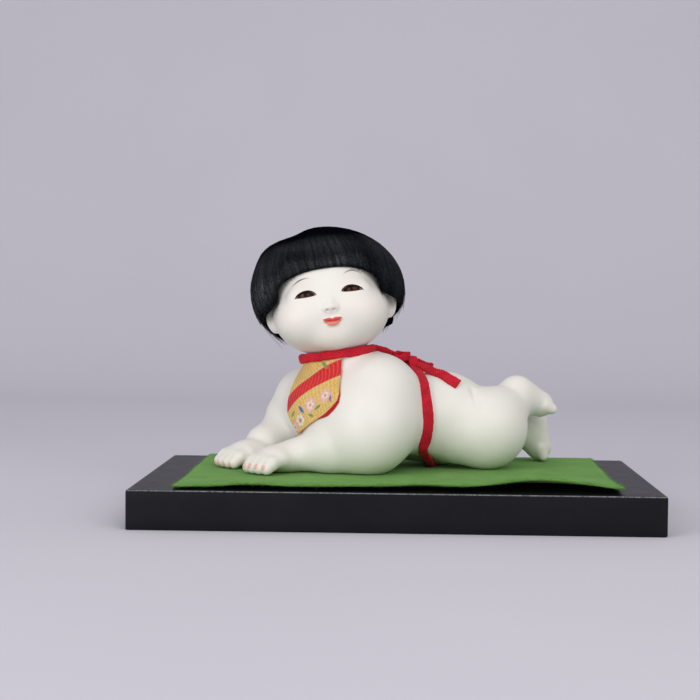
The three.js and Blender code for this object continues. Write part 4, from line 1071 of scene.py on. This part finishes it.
def bib(name, node, outline, level, thick, material, colour, step):
    """A sheet cut to an outline in the chest's front view and laid on the coat."""
    low, high = outline.min(0), outline.max(0)
    cols, rows = ((high - low) / step).astype(int)
    heights = np.linspace(high[1], low[1], rows)

    def sides(z):
        hits = []
        for (a, za), (b, zb) in zip(outline, np.roll(outline, -1, 0)):
            if (za - z) * (zb - z) <= 0 and za != zb:
                hits.append(a + (b - a) * (z - za) / (zb - za))
        return max(hits), min(hits)

    span = np.array([sides(np.clip(z, low[1] + 0.05, high[1] - 0.05)) for z in heights])
    across = np.linspace(span[:, 0], span[:, 1], cols, axis=1)
    flat = np.stack([across, np.broadcast_to(heights[:, None], across.shape)], -1)
    p = move(CHEST, np.concatenate([np.full((rows, cols, 1), CHEST_FRONT), flat], -1))
    way = CHEST[:3, 0]
    for _ in range(70):
        p = p + way * np.clip(body.at(p) - level, 0, 2)[..., None] * 0.7
    for _ in range(6):
        p[1:-1, 1:-1] = (p[:-2, 1:-1] + p[2:, 1:-1] + p[1:-1, :-2] + p[1:-1, 2:]) / 4
    points, faces, _ = slab(p + body.normal(p) * thick, p)
    uv = np.concatenate([flat.reshape(-1, 2)] * 2)
    paint = colour(uv) if colour else None
    obj = make(name, points, faces, material, "doll", DOLL, [node], paint, uv)
    x, z = outline.T
    area = abs(np.dot(x, np.roll(z, -1)) - np.dot(z, np.roll(x, -1))) / 2 * MM ** 2 * LAID_LARGER
    flat_size = (high - low) * LAID_LONGER * MM
    min(area, 0.99 * flat_size.prod())


def blossom(uv, centre, radius, petals=5, tilt=0.0):
    """Distance-like value of a flower with rounded petals: below 0 inside."""
    d = uv - np.array(centre)
    r, a = np.hypot(*d.T), np.arctan2(d[:, 1], d[:, 0]) + tilt
    return r - radius * (0.62 + 0.38 * np.abs(np.cos(petals * a / 2)) ** 0.7)


def leaf(uv, centre, length, angle):
    """The same for a pointed leaf."""
    d = uv - np.array(centre)
    c, s = math.cos(angle), math.sin(angle)
    x, y = (d[:, 0] * c + d[:, 1] * s) / length, (-d[:, 0] * s + d[:, 1] * c) / length
    return length * (np.abs(y) - 0.30 * clamp(1 - x * x) + 3 * clamp(np.abs(x) - 1))


GOLD, BLUE, GREEN = np.array([0.90, 0.62, 0.21]), (0.07, 0.16, 0.55), (0.18, 0.34, 0.12)


def brocade_design(uv):
    """Gold ground, a red sash of fine stripes, blossoms and leaves; alpha is the gold thread."""
    x, z = uv.T
    check = np.sin(x * 2.1 + z * 0.6) * np.sin(z * 2.3) > 0
    out = GOLD * (0.90 + 0.18 * check)[:, None]
    alpha = np.ones(len(uv))

    def put(colour, edge, width=0.5, shine=0.0):
        nonlocal out, alpha
        m = soft(edge, width)
        out = out * (1 - m[:, None]) + np.asarray(colour) * m[:, None]
        alpha = alpha * (1 - m) + shine * m

    bend = z - (55.0 - 0.70 * (x + 6) - 0.008 * (x + 6) ** 2)
    put((0.82, 0.66, 0.34), np.abs(bend) - 6.4, 0.4, 0.8)
    put((0.70, 0.014, 0.018), np.abs(bend) - 5.7, 0.4)
    stripe = np.abs((x * 0.9 - z * 0.25) % 2.2 - 1.1)
    put((0.82, 0.09, 0.08), np.maximum(stripe - 0.28, np.abs(bend) - 5.3), 0.35)
    for c, r, tilt in (((-9.5, 40.5), 4.8, 0.3), ((-19.0, 46.5), 4.2, 0.9), ((4.6, 26.5), 3.4, 0.1),
                       ((14.0, 63.0), 3.4, 0.5)):
        put((0.86, 0.50, 0.46), blossom(uv, c, r, 5, tilt))
        put((0.92, 0.74, 0.68), blossom(uv, c, r * 0.62, 5, tilt + 0.6), 0.8)
        put((0.66, 0.32, 0.06), np.hypot(x - c[0], z - c[1]) - 0.8, 0.4, 0.6)
    put((0.84, 0.83, 0.78), blossom(uv, (-1.5, 31.0), 3.8, 6, 0.2))
    put((0.74, 0.24, 0.20), blossom(uv, (-1.5, 31.0), 1.6, 6, 0.7))
    for c, size, angle, colour in (
            ((-2.5, 37.5), 3.4, 0.7, BLUE), ((-15.5, 39.5), 3.0, -0.6, GREEN),
            ((-11.0, 34.5), 2.8, 0.25, GREEN), ((-24.0, 45.0), 2.4, 1.1, BLUE),
            ((5.0, 34.5), 2.8, 2.2, GREEN), ((-10.5, 64.5), 3.0, 0.9, GREEN)):
        put(colour, leaf(uv, c, size, angle))
    return np.concatenate([out, alpha[:, None]], 1)


bib("bib_cloth_lining", "bib_lining", LINING, level=0.25, thick=0.5, material=CREPE,
    colour=None, step=0.8)
bib("bib_cloth_brocade", "bib_brocade_face", BIB, level=0.95, thick=0.8, material=BROCADE,
    colour=brocade_design, step=0.4)

# Felt mat with soft uneven edges, curled up in waves along its front
MAT_W, MAT_D = 250.0, 172.0
EDGE_X = [-126, -120, -103, -81, -59, -37, -18, 2, 11, 24, 41, 57, 71, 84, 103, 116, 126]
EDGE_LIFT = [0.9, 1.4, 1.7, 3.6, 2.2, 2.6, 3.0, 3.2, 4.6, 4.0, 3.3, 5.0, 7.6, 7.8, 6.0, 4.2, 2.6]


def mat_lift(x, y):
    """How far the felt stands off the board."""
    front = clamp(1 - (y + MAT_D / 2) / (36 + 34 * clamp((x - 30) / 40)))
    edge = [np.interp(x + d, EDGE_X, EDGE_LIFT) for d in (-8, -4, 0, 4, 8)]
    return np.mean(edge, axis=0) * front ** 2


nx, ny = 180, 124
gx, gy = np.meshgrid(np.linspace(-1, 1, nx), np.linspace(-1, 1, ny), indexing="ij")
flat = np.stack([gx * MAT_W / 2, gy * MAT_D / 2, 0 * gx], -1)
rim_x, rim_y = (clamp((np.abs(g) - 0.93) / 0.07) for g in (gx, gy))
flat[..., 0] += np.sign(gx) * rim_x * (waves(flat, 38, 41) * 0.6 - 0.5)
flat[..., 1] += np.sign(gy) * rim_y * (waves(flat, 42, 43) * 0.6 - 0.5)
flat[..., 0] += clamp(gx) ** 2 * (3.2 + 1.3 * gy)
lift = mat_lift(flat[..., 0], flat[..., 1])
ease = np.minimum((1 - np.abs(gx)) * MAT_W / 2, (1 - np.abs(gy)) * MAT_D / 2)
round_off = 0.55 * clamp(1 - ease / 1.6) ** 2
top, under = flat.copy(), flat.copy()
top[..., 2] = MAT_TOP + lift - round_off - 0.10 + 0.06 * waves(flat, 9, 47)
under[..., 2] = STAND_TOP + 0.10 + lift + round_off * 0.4
points, faces, rim = slab(top, under)
felt = make("felt_cloth", points, faces, FELT, "mat", WORLD, ["felt_mat"])

FIBRES = 5200
pick = rim[rng.integers(0, len(rim), FIBRES)]
mid = (points[pick] + points[pick + nx * ny]) / 2
mid[:, 2] += rng.uniform(-0.8, 0.75, FIBRES)
mid[:, :2] += rng.uniform(-0.7, 0.7, (FIBRES, 2))
on_end = np.abs(mid[:, 0]) / MAT_W > np.abs(mid[:, 1]) / MAT_D
edge_out = np.sign(mid) * np.stack([on_end, ~on_end, 0 * on_end], 1)
way = unit(edge_out + rng.normal(0, 0.7, (FIBRES, 3)) * (1, 1, 0.6))
t = np.linspace(0, 1, 4)[None, :, None]
curl = rng.normal(0, 0.5, (FIBRES, 3))[:, None] * t ** 2
length = rng.uniform(0.6, 1.5, FIBRES)[:, None, None]
path = mid[:, None] - edge_out[:, None] * 0.5 + way[:, None] * t * length + curl
path[..., 2] = np.maximum(path[..., 2], STAND_TOP + 0.12)
p, faces = tubes(path, np.broadcast_to(np.linspace(0.09, 0.04, 4), (FIBRES, 4)))
fuzz = make("felt_edge_fibres", p, faces, FELT, "mat", WORLD)


# Stand: one lacquer coat over the boards, rounded along its edges, open underneath
# The last of these is the height of the painted highlight line on the rounded top edge.
BOARD_UNDER, RAIL_INSIDE, HIGHLIGHT_LINE_AT = 12.2, 10.2, 22.15


def stand_ring(z, inset, r, corner=6):
    """A rectangle with round corners, that far inside the stand's outline."""
    w, d = STAND_W / 2 - inset - r, STAND_D / 2 - inset - r
    pts = []
    for cx, cy, a0 in ((1, 1, 0), (-1, 1, 90), (-1, -1, 180), (1, -1, 270)):
        for k in range(corner + 1):
            a = math.radians(a0 + 90 * k / corner)
            pts.append((cx * w + r * math.cos(a), cy * d + r * math.sin(a), z))
    return np.array(pts)


rings = [stand_ring(z, RAIL_INSIDE, 0.3) for z in (BOARD_UNDER, 0.0)] + [
    stand_ring(z, inset, 1.2) for z, inset in (
        (0.0, 0.7), (0.25, 0.2), (0.8, 0.0), (7.0, 0.0), (14.0, 0.0), (21.2, 0.0), (21.75, 0.10),
        (HIGHLIGHT_LINE_AT, 0.35), (22.4, 0.75), (STAND_TOP, 1.3), (STAND_TOP, 4.0), (STAND_TOP, 30.0),
        (STAND_TOP, 60.0))]
m = len(rings[0])
points = np.concatenate(rings + [np.array([[0, 0, STAND_TOP], [0, 0, BOARD_UNDER]])])
i = np.arange(m)
j = (i + 1) % m
last = len(points) - 2 - m
lids = np.concatenate([np.stack([last + i, last + j, np.full(m, len(points) - 2)], -1),
                       np.stack([j, i, np.full(m, len(points) - 1)], -1)])
# Painted highlight: a thin lighter line on the rounding of the top edge, standing in for light
# caught there.
wear_and_painted_highlight = clamp(1 - np.abs(points[:, 2] - HIGHLIGHT_LINE_AT) / 0.3)[:, None] * np.ones(3)
make("stand_coat", points, [lattice(len(rings), m, wrap=True), lids], LACQUER, "stand", WORLD,
     ["stand_top_board", "stand_front_rail", "stand_back_rail", "stand_left_rail",
                       "stand_right_rail"], wear_and_painted_highlight)

# Floor and backdrop: one sheet that curves up far behind
FLOOR_FRONT, FLOOR_HALF, BEND_AT, BEND_R, WALL_TOP = -1500, 2600, 900, 600, 2600
profile = [(FLOOR_FRONT, 0)]
for a in np.linspace(0, np.pi / 2, 24):
    profile.append((BEND_AT + BEND_R * math.sin(a), BEND_R - BEND_R * math.cos(a)))
profile.append((BEND_AT + BEND_R, WALL_TOP))
cols = np.linspace(-FLOOR_HALF, FLOOR_HALF, 9)
points = np.array([(x, y, z) for y, z in profile for x in cols])
p = Paint("studio_paper", specular_ior_level=0.1)
tone = p.ramp(p.noise(3, 2), [(0.3, (0.66, 0.65, 0.74)), (0.7, (0.68, 0.67, 0.76))])
paper = p.done(base_color=tone, roughness=p.span(p.noise(40), 0.9, 1.0))
make("studio_floor", points, lattice(len(profile), len(cols)), paper, None)


# Light and camera
def put(name, data, x, y, z, where):
    """Links a lamp or camera with its axes and its place."""
    obj = bpy.data.objects.new(name, data)
    scene.collection.objects.link(obj)
    m = np.eye(4)
    m[:3] = np.stack([x, y, z, where], 1)
    obj.matrix_world = Matrix(m.tolist())
    return obj


def lamp(name, where, aim, size, power, colour):
    data = bpy.data.lights.new(name, "AREA")
    data.shape, data.size, data.energy, data.color = "DISK", size, power, colour
    z = unit(np.array(where) - aim)
    x = unit(np.cross((0, 0, 1.0), z))
    put(name, data, x, np.cross(z, x), z, where)


lamp("key", (0.75, -1.45, 1.05), (0, 0, 0.08), size=1.4, power=11.6, colour=(1.0, 0.97, 0.92))
lamp("fill", (-1.1, -1.3, 0.42), (0, 0, 0.08), size=1.2, power=13.2, colour=(1.0, 0.98, 0.96))
lamp("top", (0.1, 0.1, 1.6), (0, 0, 0.1), size=0.8, power=1.5, colour=(1.0, 0.98, 0.95))
world = bpy.data.worlds.new("studio")
scene.world = world
world.use_nodes = True
sky = world.node_tree.nodes["Background"].inputs
sky["Color"].default_value = (1.0, 0.985, 0.97, 1)
sky["Strength"].default_value = 0.50

# Camera at the photograph's angle; its focal length was fitted in pixels
FOCAL_PX, PHOTO_PX, SENSOR = 1522.6, 700, 36
yaw, pitch, roll = 2.02, -2.26, -0.49
view = turn("Z", yaw) @ turn("X", pitch) @ turn("Y", roll)
lens = bpy.data.cameras.new("camera")
lens.sensor_width, lens.lens = SENSOR, SENSOR * FOCAL_PX / PHOTO_PX
lens.clip_start, lens.clip_end = 0.01, 50
camera = put("camera", lens, view[:3, 0], view[:3, 2], -view[:3, 1], (0.0039, -0.927, 0.1345))
scene.camera = camera
scene.view_settings.view_transform = "Standard"

bpy.context.view_layer.update()
